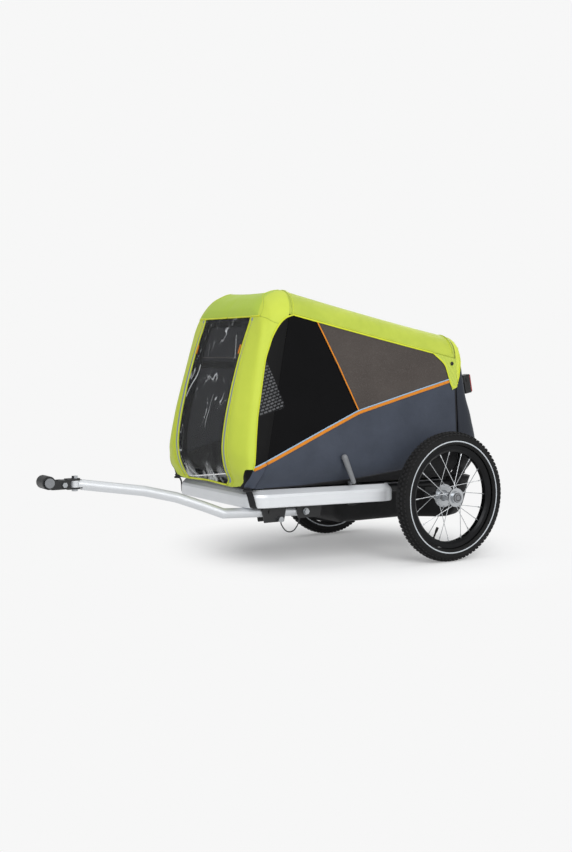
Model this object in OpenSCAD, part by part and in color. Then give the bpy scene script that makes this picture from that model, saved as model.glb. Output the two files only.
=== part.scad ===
// Two-wheeled bicycle trailer with a low fabric cabin for a pet or cargo.
// Millimetres. +X points to the rear, -Y is the trailer's left, +Z is up.
// The origin is on the ground, at mid-length and mid-width.
// Heights are above the ground with the axle at axle_z, and lengths are along X from the axle.

/* [Wheels] */
// Outer diameter of a tyre
tyre_d = 399; // [390:1:406]
// Width of a tyre
tyre_w = 47; // [42:1:50]
// Thickness of the tyre's wall
tyre_wall = 3; // [2.5:0.5:4]
// Height of the tyre outside the rim's flanges
tyre_h = 42.5; // [41:0.5:44]
// Depth of the rim, from its flanges in to its inner face
rim_depth = 19; // [16:1:22]
// Width of the rim
rim_w = 26; // [22:1:28]
// Distance between the wheels' centre planes
track_w = 654; // [650:1:680]
// Number of spokes laced to each hub flange
flange_spokes = 10; // [8:2:12]
// Diameter of a spoke
spoke_d = 2.2; // [1.8:0.1:2.6]
// Diameter of the hub's outer flange
hub_outer_d = 57; // [50:1:62]
// Diameter of the hub's inner flange
hub_inner_d = 71; // [64:1:76]
// Distance between the hub's flanges
hub_flange_gap = 56; // [50:1:60]
// Thickness of a hub flange
hub_flange_t = 4; // [3:0.5:5]
// Diameter of the hub's shell between its flanges
hub_core_d = 26; // [24:1:34]
// Length of the valve inside the rim
valve_len = 32; // [26:1:38]

/* [Axles] */
// Diameter of a stub axle
axle_d = 12; // [10:0.5:14]
// Radial clearance of a wheel hub on its stub axle
axle_gap = 0.05; // [0.03:0.01:0.08]
// Diameter of the release button in the hub
hub_button_d = 28; // [24:1:30]
// Travel of the hub release button
hub_button_travel = 3; // [2:0.5:4]
// Length along X of the block that holds a stub axle
axle_block_l = 44; // [36:1:56]
// Width across Y of the block that holds a stub axle
axle_block_w = 22; // [18:1:26]

/* [Floor frame] */
// Distance between the side tubes' centres
side_tube_gap = 404; // [400:1:408]
// Diameter of the floor frame's tubes
frame_tube_d = 22; // [20:1:24]
// Height of the floor frame's tube centres
frame_z = 222; // [220:1:226]
// Front cross tube, along X from the axle
cross_front_x = -606; // [-610:1:-600]
// Middle cross tube, along X from the axle
cross_mid_x = -330; // [-350:1:-320]
// Rear cross tube, along X from the axle
cross_rear_x = 95; // [90:1:100]

/* [Bumper rail] */
// Height of the rail's profile
rail_h = 51; // [48:1:52]
// Thickness of the rail's profile
rail_t = 22; // [20:1:24]
// Width of the bevel along the rail's top outer edge
rail_bevel = 15; // [10:1:16]
// Height of the rail's top edge at its front
rail_top_z = 247; // [246:1:250]
// Front face of the rail, along X from the axle
rail_front_x = -652; // [-656:1:-650]
// Half width of the rail's straight front part
rail_front_hw = 173; // [168:1:176]
// Outer radius of the rail's front corners
rail_corner_r = 64; // [60:1:68]
// Angle at which the rail's sides splay outwards to the rear
rail_splay = 4.8; // [4.5:0.1:5.2]
// End of the rail's straight sides, along X from the axle
rail_rear_x = -207; // [-212:1:-200]
// Outer radius of the curl at the rail's rear ends
rail_curl_r = 50; // [46:1:52]
// Nose-up pitch of the rail in degrees
rail_pitch = 0.4; // [0:0.1:1]

/* [Cabin] */
// Height of the cabin wall's lower edge
wall_z = 248; // [248:1:252]
// Height of the roof over the front hoop
roof_front_z = 821; // [810:1:830]
// Height of the roof over the rear hoop
roof_rear_z = 692; // [684:1:700]
// Foot of the front hoop, along X from the axle
hoop_front_x = -628; // [-630:1:-624]
// Foot of the rear hoop, along X from the axle
hoop_rear_x = 88; // [86:1:90]
// Rearward lean of the front hoop, X per unit of Z
hoop_front_lean = 0.231; // [0.22:0.001:0.24]
// Rearward lean of the rear hoop, X per unit of Z
hoop_rear_lean = 0.01; // [0:0.001:0.015]
// Half width of the cabin at its lower edge
cabin_hw = 220; // [218:1:222]
// Half width of the cabin at its front shoulder
shoulder_front_hw = 216; // [210:1:220]
// Half width of the cabin at its rear shoulder
shoulder_rear_hw = 234; // [228:1:238]
// Radius of the roof's front shoulders
shoulder_front_r = 78; // [70:1:84]
// Radius of the roof's rear shoulders
shoulder_rear_r = 62; // [56:1:68]
// Outward bulge of the side walls
wall_bulge = 46; // [40:1:48]
// Thickness of the fabric walls
fabric_t = 2; // [1.5:0.1:2.5]
// Gap at the seams between two fabric pieces
seam_gap = 0.4; // [0.3:0.1:0.8]
// Depth of the roof's side bands below the roof
roof_band = 73; // [70:1:80]
// Rearmost point of the cabin, along X from the axle
cabin_rear_x = 226; // [218:1:240]
// Half width of the front window
window_hw = 136; // [128:1:140]
// Height of the window's lower edge
window_low_z = 260; // [258:1:266]
// Height of the window's upper edge
window_top_z = 740; // [732:1:744]
// Front of the window at its lower edge, along X from the axle
window_x = -661; // [-664:1:-659]
// Rearward lean of the window, X per unit of Z
window_lean = 0.1468; // [0.14:0.001:0.15]
// Furthest that the window bows forward of its straight lean
window_bow = 46; // [36:1:48]

/* [Hoops] */
// Diameter of the cabin hoops' tube
hoop_d = 18; // [16:1:19]
// Height of the hoops' hinge pins
hoop_pin_z = 258; // [257:1:260]
// Diameter of the hoops' hinge pins
hoop_pin_d = 8; // [7:0.5:9]
// Half width of the front hoop between its hinge eyes' outer faces
front_foot_hw = 212; // [210:1:213]
// Half width of the rear hoop between its hinge eyes' outer faces
rear_foot_hw = 192; // [188:1:193]
// Thickness of a hinge eye across Y
eye_t = 10; // [8:1:12]

/* [Belly] */
// Height of the tub's underside
tub_z = 112; // [111:1:116]
// Half width of the tub's bottom ahead of the wheels
tub_hw = 122; // [116:1:124]
// Half width of the tub's bottom behind the axle
tub_rear_hw = 205; // [198:1:208]
// Front of the tub's flat bottom, along X from the axle
tub_front_x = -270; // [-280:1:-264]
// Thickness of the floor boards
board_t = 4; // [3:0.5:5]

/* [Drawbar] */
// Outer diameter of the drawbar tube
bar_d = 29; // [27:0.5:29.5]
// Distance of the drawbar's rear part from the middle plane
bar_y = 187; // [186:1:189]
// Fold pivot of the drawbar, along X from the axle
bar_pivot_x = -446; // [-450:1:-440]
// Height of the drawbar's fold pivot
bar_pivot_z = 173; // [172:1:175]
// Diameter of the fold pivot bolt
pivot_bolt_d = 10; // [8:0.5:12]
// Thickness of the bracket plates
bracket_t = 4; // [3:0.5:5]
// Diameter of the lock pin
lock_pin_d = 8; // [7:0.5:9]
// Lock pin, along X from the axle
lock_pin_x = -538; // [-542:1:-534]
// Height of the lock pin
lock_pin_z = 157; // [156:1:158]

/* [Hitch] */
// Distance of the hitch from the middle plane
hitch_y = 100; // [96:1:104]
// Yaw pivot of the hitch, along X from the axle
hitch_yaw_x = -1120; // [-1124:1:-1116]
// Height of the hitch's knuckle
hitch_z = 285; // [283:1:287]
// Axis of the coupling barrel, along X from the axle
barrel_x = -1201; // [-1206:1:-1198]
// Diameter of the coupling barrel
barrel_d = 36; // [34:1:38]
// Length of the coupling barrel
barrel_l = 48; // [44:1:52]
// Diameter of the coupling's bore for the hitch pin
socket_d = 20.4; // [18:0.2:21]
// Depth of the coupling's bore
socket_l = 30; // [26:1:31]
// Diameter of the coupling's release button
hitch_button_d = 26; // [22:1:27]
// Travel of the coupling's release button
hitch_button_travel = 3; // [2:0.5:4]

/* [Levers] */
// Disc of the frame lock, along X from the axle
disc_x = -285; // [-288:1:-282]
// Height of the frame lock's disc
disc_z = 214; // [212:1:215]
// Diameter of the frame lock's disc
disc_d = 68; // [60:1:70]
// Diameter of the lever at its root
lever_root_d = 13; // [11:0.5:13]
// Diameter of the lever at its tip
lever_tip_d = 18; // [15:0.5:18]

/* [Hidden] */
$fn = 64;

// Height of the axle that every other height is drawn to
axle_z = 199.5;
rim_d = tyre_d - 2 * tyre_h;
rim_inner_d = rim_d - 2 * rim_depth;
hitch_front_x = barrel_x - barrel_d / 2;
axle_x = -(hitch_front_x + cabin_rear_x) / 2;

function lerp(a, b, t) = a + (b - a) * t;
function unit(v) = v / max(norm(v), 1e-9);
function flatten(list) = [for (row = list) for (item = row) item];

function mirrored(row) = [for (i = [len(row) - 1:-1:0]) [row[i].x, -row[i].y, row[i].z]];

// Everything is drawn with the axle at this height, and lifted to where the tyres carry it
module at_axle() { translate([axle_x, 0, tyre_d / 2 - axle_z]) children(); }
module on_right() { mirror([0, 1, 0]) children(); }
// One piece on both sides of the middle plane
module both_sides() {
    children();
    on_right() children();
}

// A straight rod from p to q
module rod(p, q, r, r_end = undef) {
    v = q - p;
    translate(p)
        rotate([0, acos(v.z / norm(v)), atan2(v.y, v.x)])
            cylinder(h = norm(v), r1 = r, r2 = is_undef(r_end) ? r : r_end);
}

// A tube's outside along a row of points, with round joints
bend_swell = 0.03;
module rod_path(points, r, swell = 0) {
    for (i = [0:len(points) - 2])
        rod(points[i], points[i + 1], r);
    for (i = [1:1:len(points) - 2])
        translate(points[i]) sphere(r = r + swell);
}

// A cylinder along -Y, from y = -from_y out to y = -to_y
module outward(x, from_y, to_y, z, r) {
    translate([x, -from_y, z]) rotate([90, 0, 0]) cylinder(h = to_y - from_y, r = r);
}

// Points of a rounded knee between a, k and b, each side cut back by d
function knee(a, k, b, d, n = 4) = [
    for (i = [0:n])
        let (t = i / n, p = k + unit(a - k) * d, q = k + unit(b - k) * d)
            lerp(lerp(p, k, t), lerp(k, q, t), t)
];

// ---- Sheets of fabric, as thin closed solids over a grid of points ----
function grid_normal(g, i, j) =
    let (
        n = len(g) - 1,
        m = len(g[0]) - 1,
        du = g[min(i + 1, n)][j] - g[max(i - 1, 0)][j],
        dv = g[i][min(j + 1, m)] - g[i][max(j - 1, 0)]
    ) unit(cross(du, dv));

function grid_offset(g, d) = [
    for (i = [0:len(g) - 1]) [for (j = [0:len(g[0]) - 1]) g[i][j] + d * grid_normal(g, i, j)]
];

// The grid is the outside, and the sheet's thickness t goes inwards
module sheet(g, t) {
    inner = grid_offset(g, -t);
    n = len(g);
    m = len(g[0]);
    half = n * m;
    function id(i, j) = i * m + j;
    top = [
        for (i = [0:n - 2]) for (j = [0:m - 2]) each [
            [id(i, j), id(i, j + 1), id(i + 1, j + 1)],
            [id(i, j), id(i + 1, j + 1), id(i + 1, j)]
        ]
    ];
    bottom = [for (f = top) [half + f[2], half + f[1], half + f[0]]];
    rim = concat(
        [for (i = [0:n - 1]) id(i, 0)],
        [for (j = [1:m - 1]) id(n - 1, j)],
        [for (i = [n - 2:-1:0]) id(i, m - 1)],
        [for (j = [m - 2:-1:1]) id(0, j)]
    );
    k = len(rim);
    edge = [
        for (i = [0:k - 1]) let (p = rim[i], q = rim[(i + 1) % k]) each [
            [p, q, half + q],
            [p, half + q, half + p]
        ]
    ];
    polyhedron(points = concat(flatten(g), flatten(inner)), faces = concat(top, bottom, edge));
}

// ---- Wheels, drawn for the left side with the axle along Y ----
module wheel_frame() {
    at_axle() translate([0, -track_w / 2, axle_z]) rotate([90, 0, 0]) children();
}
rim_gap = 0.3;

module tyre() {
    color("#1b1b1d") wheel_frame() rotate_extrude($fn = 128) difference() {
        translate([tyre_d / 2 - tyre_w / 2, 0]) circle(d = tyre_w);
        translate([tyre_d / 2 - tyre_w / 2, 0]) circle(d = tyre_w - 2 * tyre_wall);
        translate([0, -tyre_w]) square([rim_d / 2 + rim_gap, 2 * tyre_w]);
    }
}

module rim() {
    r_in = rim_inner_d / 2;
    r_out = rim_d / 2;
    w = rim_w / 2;
    color("#161617") wheel_frame() rotate_extrude($fn = 128) polygon([
        [r_in, -w * 0.6], [r_in, w * 0.6], [r_in + 7, w], [r_out, w], [r_out, w - 3],
        [r_in + 10, w - 3], [r_in + 7, w - 6], [r_in + 7, 6 - w], [r_in + 10, 3 - w],
        [r_out, 3 - w], [r_out, -w], [r_in + 7, -w]
    ]);
}

function polar(r, a, z) = [r * cos(a), r * sin(a), z];
nipple_d = 4;
nipple_l = 11;
spoke_cross = 38;

// Spokes alternate between leading and trailing, ending in nipples at the rim
module spokes() {
    step = 360 / flange_spokes;
    color("#c9ccd0") wheel_frame()
        for (side = [-1, 1]) {
            flange_r = (side > 0 ? hub_outer_d : hub_inner_d) / 2 - 4;
            for (k = [0:flange_spokes - 1]) {
                a = (k + (side > 0 ? 0 : 0.5)) * step;
                turn = k % 2 == 0 ? spoke_cross : -spoke_cross;
                root = polar(flange_r, a + turn, side * (hub_flange_gap - hub_flange_t - spoke_d - 0.2) / 2);
                tip = polar(rim_inner_d / 2 - 0.5, a, side * 3);
                rod(root, tip, spoke_d / 2);
                rod(tip + unit(root - tip) * nipple_l, tip, nipple_d / 2);
            }
        }
}

hub_end_z = hub_flange_gap / 2 + 8;
button_recess = 5;
recess_floor_z = hub_end_z - button_recess;
recess_gap = 1.5;

module hub() {
    bore = axle_d / 2 + axle_gap;
    f = hub_flange_gap / 2;
    t = hub_flange_t / 2;
    cup = hub_button_d / 2 + recess_gap;
    color("#c4c7ca") wheel_frame() rotate_extrude($fn = 96) polygon([
        [bore, -f - 6], [bore + 7, -f - 6], [bore + 7, -f - t], [hub_inner_d / 2, -f - t],
        [hub_inner_d / 2, -f + t], [hub_core_d / 2 + 4, -f + t], [hub_core_d / 2, -f + t + 7],
        [hub_core_d / 2, f - t - 7], [hub_core_d / 2 + 4, f - t], [hub_outer_d / 2, f - t],
        [hub_outer_d / 2, f + t], [cup + 3, f + t], [cup + 3, hub_end_z], [cup, hub_end_z],
        [cup, recess_floor_z], [bore, recess_floor_z]
    ]);
}

valve_angle = 243;
module valve() {
    r = rim_inner_d / 2 - rim_gap;
    color("#202022") wheel_frame() {
        rod(polar(r, valve_angle, 0), polar(r - valve_len, valve_angle, 0), 2.8);
        rod(polar(r - valve_len + 12, valve_angle, 0), polar(r - valve_len - 3, valve_angle, 0), 4);
    }
}

button_stem_d = 6;
button_stem_l = 12;
axle_root_y = side_tube_gap / 2 + frame_tube_d / 2 + 0.5;

module stub_axle() {
    color("#9b9ea2") at_axle() difference() {
        outward(0, axle_root_y, track_w / 2 + recess_floor_z, axle_z, axle_d / 2);
        outward(0, track_w / 2 + recess_floor_z - button_stem_l - hub_button_travel - 1,
            track_w / 2 + recess_floor_z + 1, axle_z, button_stem_d / 2 + 0.05);
    }
}

module hub_button() {
    base = track_w / 2 + recess_floor_z + hub_button_travel + 0.5;
    color("#8d9094") at_axle() {
        outward(0, base, base + 5, axle_z, hub_button_d / 2);
        outward(0, base - button_stem_l - hub_button_travel + 2, base, axle_z, button_stem_d / 2);
    }
}

// ---- Floor frame ----
tube_r = frame_tube_d / 2;
side_y = side_tube_gap / 2;

module axle_blocks() {
    top_z = frame_z - 1.5;
    low_z = axle_z - axle_d / 2 - 9;
    color("#232326") at_axle() both_sides() difference() {
        translate([-axle_block_l / 2, -axle_root_y - axle_block_w, low_z])
            cube([axle_block_l, axle_block_w, top_z - low_z]);
        outward(0, axle_root_y - 1, axle_root_y + axle_block_w + 1, axle_z, axle_d / 2);
    }
}

module side_tubes() {
    color("#2a2a2d") at_axle() both_sides()
        rod([cross_front_x + tube_r, -side_y, frame_z], [cross_rear_x + tube_r, -side_y, frame_z], tube_r);
}

module cross_tubes() {
    end_y = side_y - tube_r - 0.2;
    // Where the rail's front corner bounds the front tube
    corner_y = rail_front_hw - 0.6
        + sqrt(pow(rail_corner_r - rail_t, 2) - pow(rail_c1.x - cross_front_x + tube_r, 2));
    color("#2a2a2d") at_axle() {
        rod([cross_front_x, -corner_y, frame_z], [cross_front_x, corner_y, frame_z], tube_r - 0.2);
        for (x = [cross_mid_x, cross_rear_x])
            rod([x, -end_y, frame_z], [x, end_y, frame_z], tube_r);
    }
}

// ---- Bumper rail: a U in plan, with its rear ends curled inwards ----
rail_side = [rail_corner_r * -sin(rail_splay), -rail_corner_r * cos(rail_splay)];
rail_c1 = [rail_front_x + rail_corner_r, -rail_front_hw];
rail_run = (rail_rear_x - rail_c1.x - rail_side.x) / cos(rail_splay);
rail_c2 = rail_c1 + rail_side + rail_run * [cos(rail_splay), -sin(rail_splay)]
    + rail_curl_r * [sin(rail_splay), cos(rail_splay)];
curl_turn = 74;
bend_inset = 0.03;
bend_lap = 0.8;

// Profile with its outer face at u = 0 and its top at v = 0, drawn smaller by inset
module rail_profile(inset = 0) {
    a = inset;
    b = rail_t - inset;
    top = rail_h - inset;
    translate([-rail_t, -rail_h]) polygon([
        [a, a], [b - 2, a], [b, a + 2], [b, rail_h - rail_bevel - 6],
        [b - 3, rail_h - rail_bevel + 2], [rail_t - rail_bevel, top], [a, top]
    ]);
}

// A bend from one angle to another, let a little into the straight runs beside it
module rail_bend(r, turn) {
    rotate([0, 0, -bend_lap]) rotate_extrude(angle = turn + 2 * bend_lap, $fn = 96)
        translate([r, 0]) rail_profile(bend_inset);
}

// Places the rail's own top plane in the trailer, with its pitch about the front
module rail_place() {
    at_axle() translate([rail_front_x, 0, rail_top_z]) rotate([0, rail_pitch, 0])
        translate([-rail_front_x, 0, 0]) children();
}

module rail_half() {
    // Front straight
    translate([rail_front_x, 0, 0]) rotate([90, 0, 0]) linear_extrude(rail_front_hw)
        mirror([1, 0]) rail_profile();
    // Front corner
    translate([rail_c1.x, rail_c1.y, 0]) rotate([0, 0, 180]) rail_bend(rail_corner_r, 90 - rail_splay);
    // Side
    translate([rail_c1.x + rail_side.x, rail_c1.y + rail_side.y, 0])
        rotate([0, 0, -rail_splay]) rotate([90, 0, 90]) linear_extrude(rail_run)
            mirror([1, 0]) rail_profile();
    // Curl
    translate([rail_c2.x, rail_c2.y, 0]) rotate([0, 0, 270 - rail_splay]) rail_bend(rail_curl_r, curl_turn);
}

module bumper_rail() {
    color("#d5d7da") rail_place() union() {
        rail_half();
        on_right() rail_half();
    }
}

// Inner face of the rail's side at x, as a distance from the middle plane
function rail_inner(x) = -rail_c1.y - rail_side.y + (x - rail_c1.x - rail_side.x) * tan(rail_splay)
    - rail_t / cos(rail_splay);

spacer_r = 7;
spacer_z = 210;
spacer_xs = [-540, -420, -240];
front_spacer_y = 110;

module rail_spacers() {
    color("#1d1d1f") at_axle() both_sides() {
        for (x = spacer_xs)
            outward(x, side_y + tube_r - 1.4, rail_inner(x) - spacer_r * tan(rail_splay) - 0.2,
                spacer_z, spacer_r - 2);
        rod([rail_front_x + rail_t + 0.6, -front_spacer_y, frame_z],
            [cross_front_x - tube_r + 0.1, -front_spacer_y, frame_z], spacer_r);
    }
}

// ---- Floor ----
board_z = frame_z + tube_r + 0.3;
board_hw = 190;
ramp_edge_z = rail_top_z + 0.6;

// A plate in a plane of constant Y, from y = -from_y out to y = -to_y
module plate_y(points, from_y, to_y) {
    translate([0, -from_y, 0]) rotate([90, 0, 0]) linear_extrude(to_y - from_y) polygon(points);
}

module floor_board() {
    color("#6a6c6e") at_axle()
        translate([cross_front_x + 17, -board_hw, board_z])
            cube([cross_rear_x - cross_front_x - 12, 2 * board_hw, board_t]);
}

// Bent front edge of the floor, up over the rail
module front_ramp_board() {
    t = board_t - 1;
    a = rail_front_x + 7;
    b = rail_front_x + rail_t + 3;
    c = cross_front_x + 6;
    d = cross_front_x + 16.5;
    color("#6a6c6e") at_axle() plate_y([
        [a, ramp_edge_z], [b, ramp_edge_z], [c, board_z], [d, board_z],
        [d, board_z + t], [c + 1, board_z + t], [b + 1, ramp_edge_z + t], [a, ramp_edge_z + t]
    ], -board_hw, board_hw);
}

// Closed section of the belly at one station
function belly_section(x, low, top, hw_low, hw_top, round) = let (
    lt = [x, -hw_top, top],
    lb = [x, -hw_low, low],
    rb = [x, hw_low, low],
    rt = [x, hw_top, top]
) concat([lt], knee(lt, lb, rb, round), knee(lb, rb, rt, round), [rt]);

module loft(sections) {
    n = len(sections);
    m = len(sections[0]);
    side = [
        for (i = [0:n - 2]) for (j = [0:m - 1]) let (k = (j + 1) % m) each [
            [i * m + j, i * m + k, (i + 1) * m + k],
            [i * m + j, (i + 1) * m + k, (i + 1) * m + j]
        ]
    ];
    first = [for (j = [1:m - 2]) [0, j + 1, j]];
    last = [for (j = [1:m - 2]) [(n - 1) * m, (n - 1) * m + j, (n - 1) * m + j + 1]];
    polyhedron(points = flatten(sections), faces = concat(side, first, last));
}

belly_top = frame_z - tube_r - 0.3;
boot_x = cross_rear_x + tube_r + 1;

module belly_tub() {
    color("#1c1c1e") at_axle() union() {
        loft([
            belly_section(tub_front_x - 18, belly_top - 22, belly_top, tub_hw - 8, 165, 8),
            belly_section(tub_front_x - 6, tub_z + 24, belly_top, tub_hw - 4, 165, 20),
            belly_section(tub_front_x + 16, tub_z, belly_top, tub_hw, 166, 26),
            belly_section(0, tub_z, belly_top, tub_hw, 168, 26),
            belly_section(boot_x - 22, tub_z, belly_top, tub_rear_hw - 8, 206, 34),
            belly_section(boot_x + 0.6, tub_z, belly_top, tub_rear_hw, 214, 34)
        ]);
        loft([
            belly_section(boot_x, tub_z, wall_z - 3, tub_rear_hw, 250, 34),
            belly_section(boot_x + 42, tub_z + 2, wall_z - 3, tub_rear_hw - 8, 244, 40),
            belly_section(cabin_rear_x - 44, tub_z + 8, wall_z - 3, tub_rear_hw - 34, 214, 44),
            belly_section(cabin_rear_x - 30, tub_z + 22, wall_z - 3, tub_rear_hw - 62, 178, 44),
            belly_section(cabin_rear_x - 24, tub_z + 44, wall_z - 4, tub_rear_hw - 90, 140, 40)
        ]);
    }
}

// ---- Cabin hoops ----
eye_r = 8;
pin_gap = 0.05;
ear_t = 4;
ear_gap = 0.5;
ear_r = 9;
front_ear_y = front_foot_hw - eye_t - ear_gap - ear_t;
rear_ear_y = rear_foot_hw + ear_gap;

module hoop_brackets() {
    // Front ears reach forward over the rail from the front cross tube
    fx = cross_front_x;
    hx = hoop_front_x;
    low = rail_top_z + 1.4;
    color("#2a2a2d") at_axle() both_sides() {
        difference() {
            union() {
                outward(hx, front_ear_y, front_ear_y + ear_t, hoop_pin_z, ear_r);
                plate_y([
                    [hx, low + 0.1], [hx + 9.5, low + 0.1], [hx + 9.5, frame_z + 4], [fx + 5, frame_z + 4],
                    [fx + 5, low + 1.4], [hx + 13, low + 1.4], [hx + 7.5, hoop_pin_z - 4]
                ], front_ear_y, front_ear_y + ear_t);
            }
            outward(hx, 0, side_y + 20, hoop_pin_z, hoop_pin_d / 2);
            outward(fx, 0, side_y + 20, frame_z, tube_r);
        }
        difference() {
            union() {
                outward(hoop_rear_x, rear_ear_y, rear_ear_y + ear_t, hoop_pin_z, ear_r);
                plate_y([
                    [hoop_rear_x - ear_r, frame_z + 4], [hoop_rear_x + ear_r, frame_z + 4],
                    [hoop_rear_x + ear_r, hoop_pin_z], [hoop_rear_x - ear_r, hoop_pin_z]
                ], rear_ear_y, rear_ear_y + ear_t);
            }
            outward(hoop_rear_x, 0, side_y + 20, hoop_pin_z, hoop_pin_d / 2);
            outward(cross_rear_x, 0, side_y + 20, frame_z, tube_r + 0.2);
            rod([0, -side_y, frame_z], [hoop_rear_x + 40, -side_y, frame_z], tube_r + 0.1);
        }
    }
}

module hoop_pins() {
    color("#b9bcc0") at_axle() both_sides() {
        outward(hoop_front_x, front_ear_y, front_foot_hw + 1.5, hoop_pin_z, hoop_pin_d / 2);
        outward(hoop_rear_x, rear_foot_hw - eye_t - 1.5, rear_ear_y + ear_t, hoop_pin_z, hoop_pin_d / 2);
    }
}

run_lap = 0.05;

// A hoop, in its own leaning plane: two legs with eyes, two bends and a top bar
module hoop(x, lean, leg_y, top_z, bend) {
    run = (top_z - hoop_pin_z) * sqrt(1 + lean * lean);
    leg_start = eye_r + 6;
    r = hoop_d / 2;
    translate([x, 0, hoop_pin_z]) rotate([0, atan(lean), 0]) {
        both_sides() {
            translate([0, -leg_y, leg_start]) cylinder(h = run - bend - leg_start + run_lap, r = r);
            translate([0, -leg_y + bend, run - bend]) rotate([0, -90, 0]) rotate([0, 0, 270])
                rotate_extrude(angle = 90) translate([bend, 0]) circle(r = r);
        }
        translate([0, 0, run]) rotate([90, 0, 0])
            cylinder(h = 2 * (leg_y - bend + run_lap), r = r, center = true);
        both_sides() difference() {
            union() {
                outward(0, leg_y - eye_t / 2, leg_y + eye_t / 2, 0, eye_r);
                translate([-eye_r * 0.7, -leg_y - eye_t / 2, 2]) cube([eye_r * 1.4, eye_t, leg_start + 2]);
            }
            outward(0, 0, side_y + 40, 0, hoop_pin_d / 2 + pin_gap);
        }
    }
}

hoop_inset = fabric_t + hoop_d / 2 + 5;
// A hoop's bends are this much wider than the roof's shoulders less the inset
bend_ease = 1.5;

module front_hoop() {
    color("#2a2a2d") at_axle()
        hoop(hoop_front_x, hoop_front_lean, front_foot_hw - eye_t / 2,
            roof_front_z - hoop_inset, shoulder_front_r - hoop_inset + bend_ease);
}

module rear_hoop() {
    color("#2a2a2d") at_axle()
        hoop(hoop_rear_x, hoop_rear_lean, rear_foot_hw - eye_t / 2,
            roof_rear_z - hoop_inset, shoulder_rear_r - hoop_inset + bend_ease);
}

// ---- Cabin skin. s runs from the front hoop (0) to the rear hoop (1). ----
wall_tuck = 0.08;
cabin_run = hoop_rear_x - hoop_front_x;
seam_s = seam_gap / cabin_run;

function bulge_at(t) = (1 - exp(-pow(t / wall_tuck, 2))) * (1 - t);
function wall_half(z, top, foot, shoulder, r) = let (
    t = (z - wall_z) / (top - wall_z),
    flat = lerp(foot, shoulder, t) + wall_bulge * bulge_at(t),
    rise = z - top + r
) rise <= 0 ? flat : flat - r + sqrt(max(r * r - rise * rise, 0));

function roof_z(s) = lerp(roof_front_z, roof_rear_z, s);
function shoulder_r(s) = lerp(shoulder_front_r, shoulder_rear_r, s);
function skin_x(s, z) = hoop_front_x + cabin_run * s
    + lerp(hoop_front_lean, hoop_rear_lean, s) * (z - hoop_pin_z);
function skin_half(s, z) = wall_half(z, roof_z(s), cabin_hw,
    lerp(shoulder_front_hw, shoulder_rear_hw, s), shoulder_r(s));
function skin(s, z) = [skin_x(s, z), -skin_half(s, z), z];
// Station of a point given by its length x and height z
function at(x, z) = [
    (x - hoop_front_x - hoop_front_lean * (z - hoop_pin_z))
        / (cabin_run + (hoop_rear_lean - hoop_front_lean) * (z - hoop_pin_z)),
    z
];

// One ring across the roof, from the left band's edge to the right one
shoulder_angles = [15, 30, 45, 60, 75, 90];
crown_steps = [0.66, 0.33];
function roof_ring(s) = let (
    z = roof_z(s),
    r = shoulder_r(s),
    left = concat(
        [skin(s, z - roof_band)],
        [for (a = shoulder_angles) skin(s, z - r * (1 - sin(a)))]
    ),
    edge = left[len(left) - 1],
    half = concat(left, [for (k = crown_steps) [edge.x, edge.y * k, edge.z]])
) concat(half, [[edge.x, 0, edge.z]], mirrored(half));

roof_rings = 10;
module roof() {
    color("#a9c93f") at_axle() sheet([
        for (i = [0:roof_rings]) roof_ring(lerp(seam_s, 1 - seam_s, i / roof_rings))
    ], fabric_t);
}

// A panel on the left wall between a lower and an upper row of stations
function refined(row, k) = [
    for (i = [0:len(row) - 2]) for (j = [0:k - 1]) lerp(row[i], row[i + 1], j / k),
    row[len(row) - 1]
];
module wall_panel(low, high, rows, k = 3) {
    a = refined(low, k);
    b = refined(high, k);
    sheet([
        for (i = [0:len(a) - 1]) [
            for (j = [0:rows]) let (p = lerp(a[i], b[i], j / rows)) skin(p[0], p[1])
        ]
    ], fabric_t);
}

// Piping line along the wall, in two straight runs
pipe_a = [hoop_front_x - 22, 312];
pipe_b = [-289, 463];
pipe_c = [66, 552];
function pipe(x, up) = at(x, up + (x < pipe_b.x
    ? lerp(pipe_a[1], pipe_b[1], (x - pipe_a[0]) / (pipe_b[0] - pipe_a[0]))
    : lerp(pipe_b[1], pipe_c[1], (x - pipe_b[0]) / (pipe_c[0] - pipe_b[0]))));
function band_edge(s, down) = [s, roof_z(s) - roof_band - down];
function band_at(x, down) = let (s = at(x, roof_front_z - (x - hoop_front_x) * 0.2 - roof_band)[0])
    band_edge(s, down);
window_back_top = band_at(-420, seam_gap);
tail_corner = [50, 603];
tail_tip = [75, 522];

module side_window_left() {
    d = [0.6 / cabin_run, 0];
    color("#151517") at_axle() wall_panel(
        [for (x = [-613, -530, -450, -370]) pipe(x, seam_gap), pipe(pipe_b[0] - 1, seam_gap)],
        [for (i = [0:4]) lerp(band_edge(2 * seam_s, seam_gap), window_back_top - d, i / 4)],
        6, 2);
}

module side_panel_left() {
    color("#454041") at_axle() wall_panel(
        [
            pipe(pipe_b[0] + 1, seam_gap), for (x = [-200, -110, -20]) pipe(x, seam_gap),
            pipe(pipe_c[0] - 1, seam_gap)
        ],
        [
            for (i = [0:3]) lerp(window_back_top, band_at(0, seam_gap), i / 3),
            at(tail_corner[0] - 1, tail_corner[1])
        ],
        5, 2);
}

lower_edge = [
    [hoop_front_x + 2, wall_z + 2], [-470, wall_z + 3], [-400, wall_z + 7], [-289, wall_z + 12],
    [-140, wall_z + 29], [-60, wall_z + 42], [10, wall_z + 68], [50, wall_z + 88]
];
lower_edge_rear = wall_z + 104;

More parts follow.
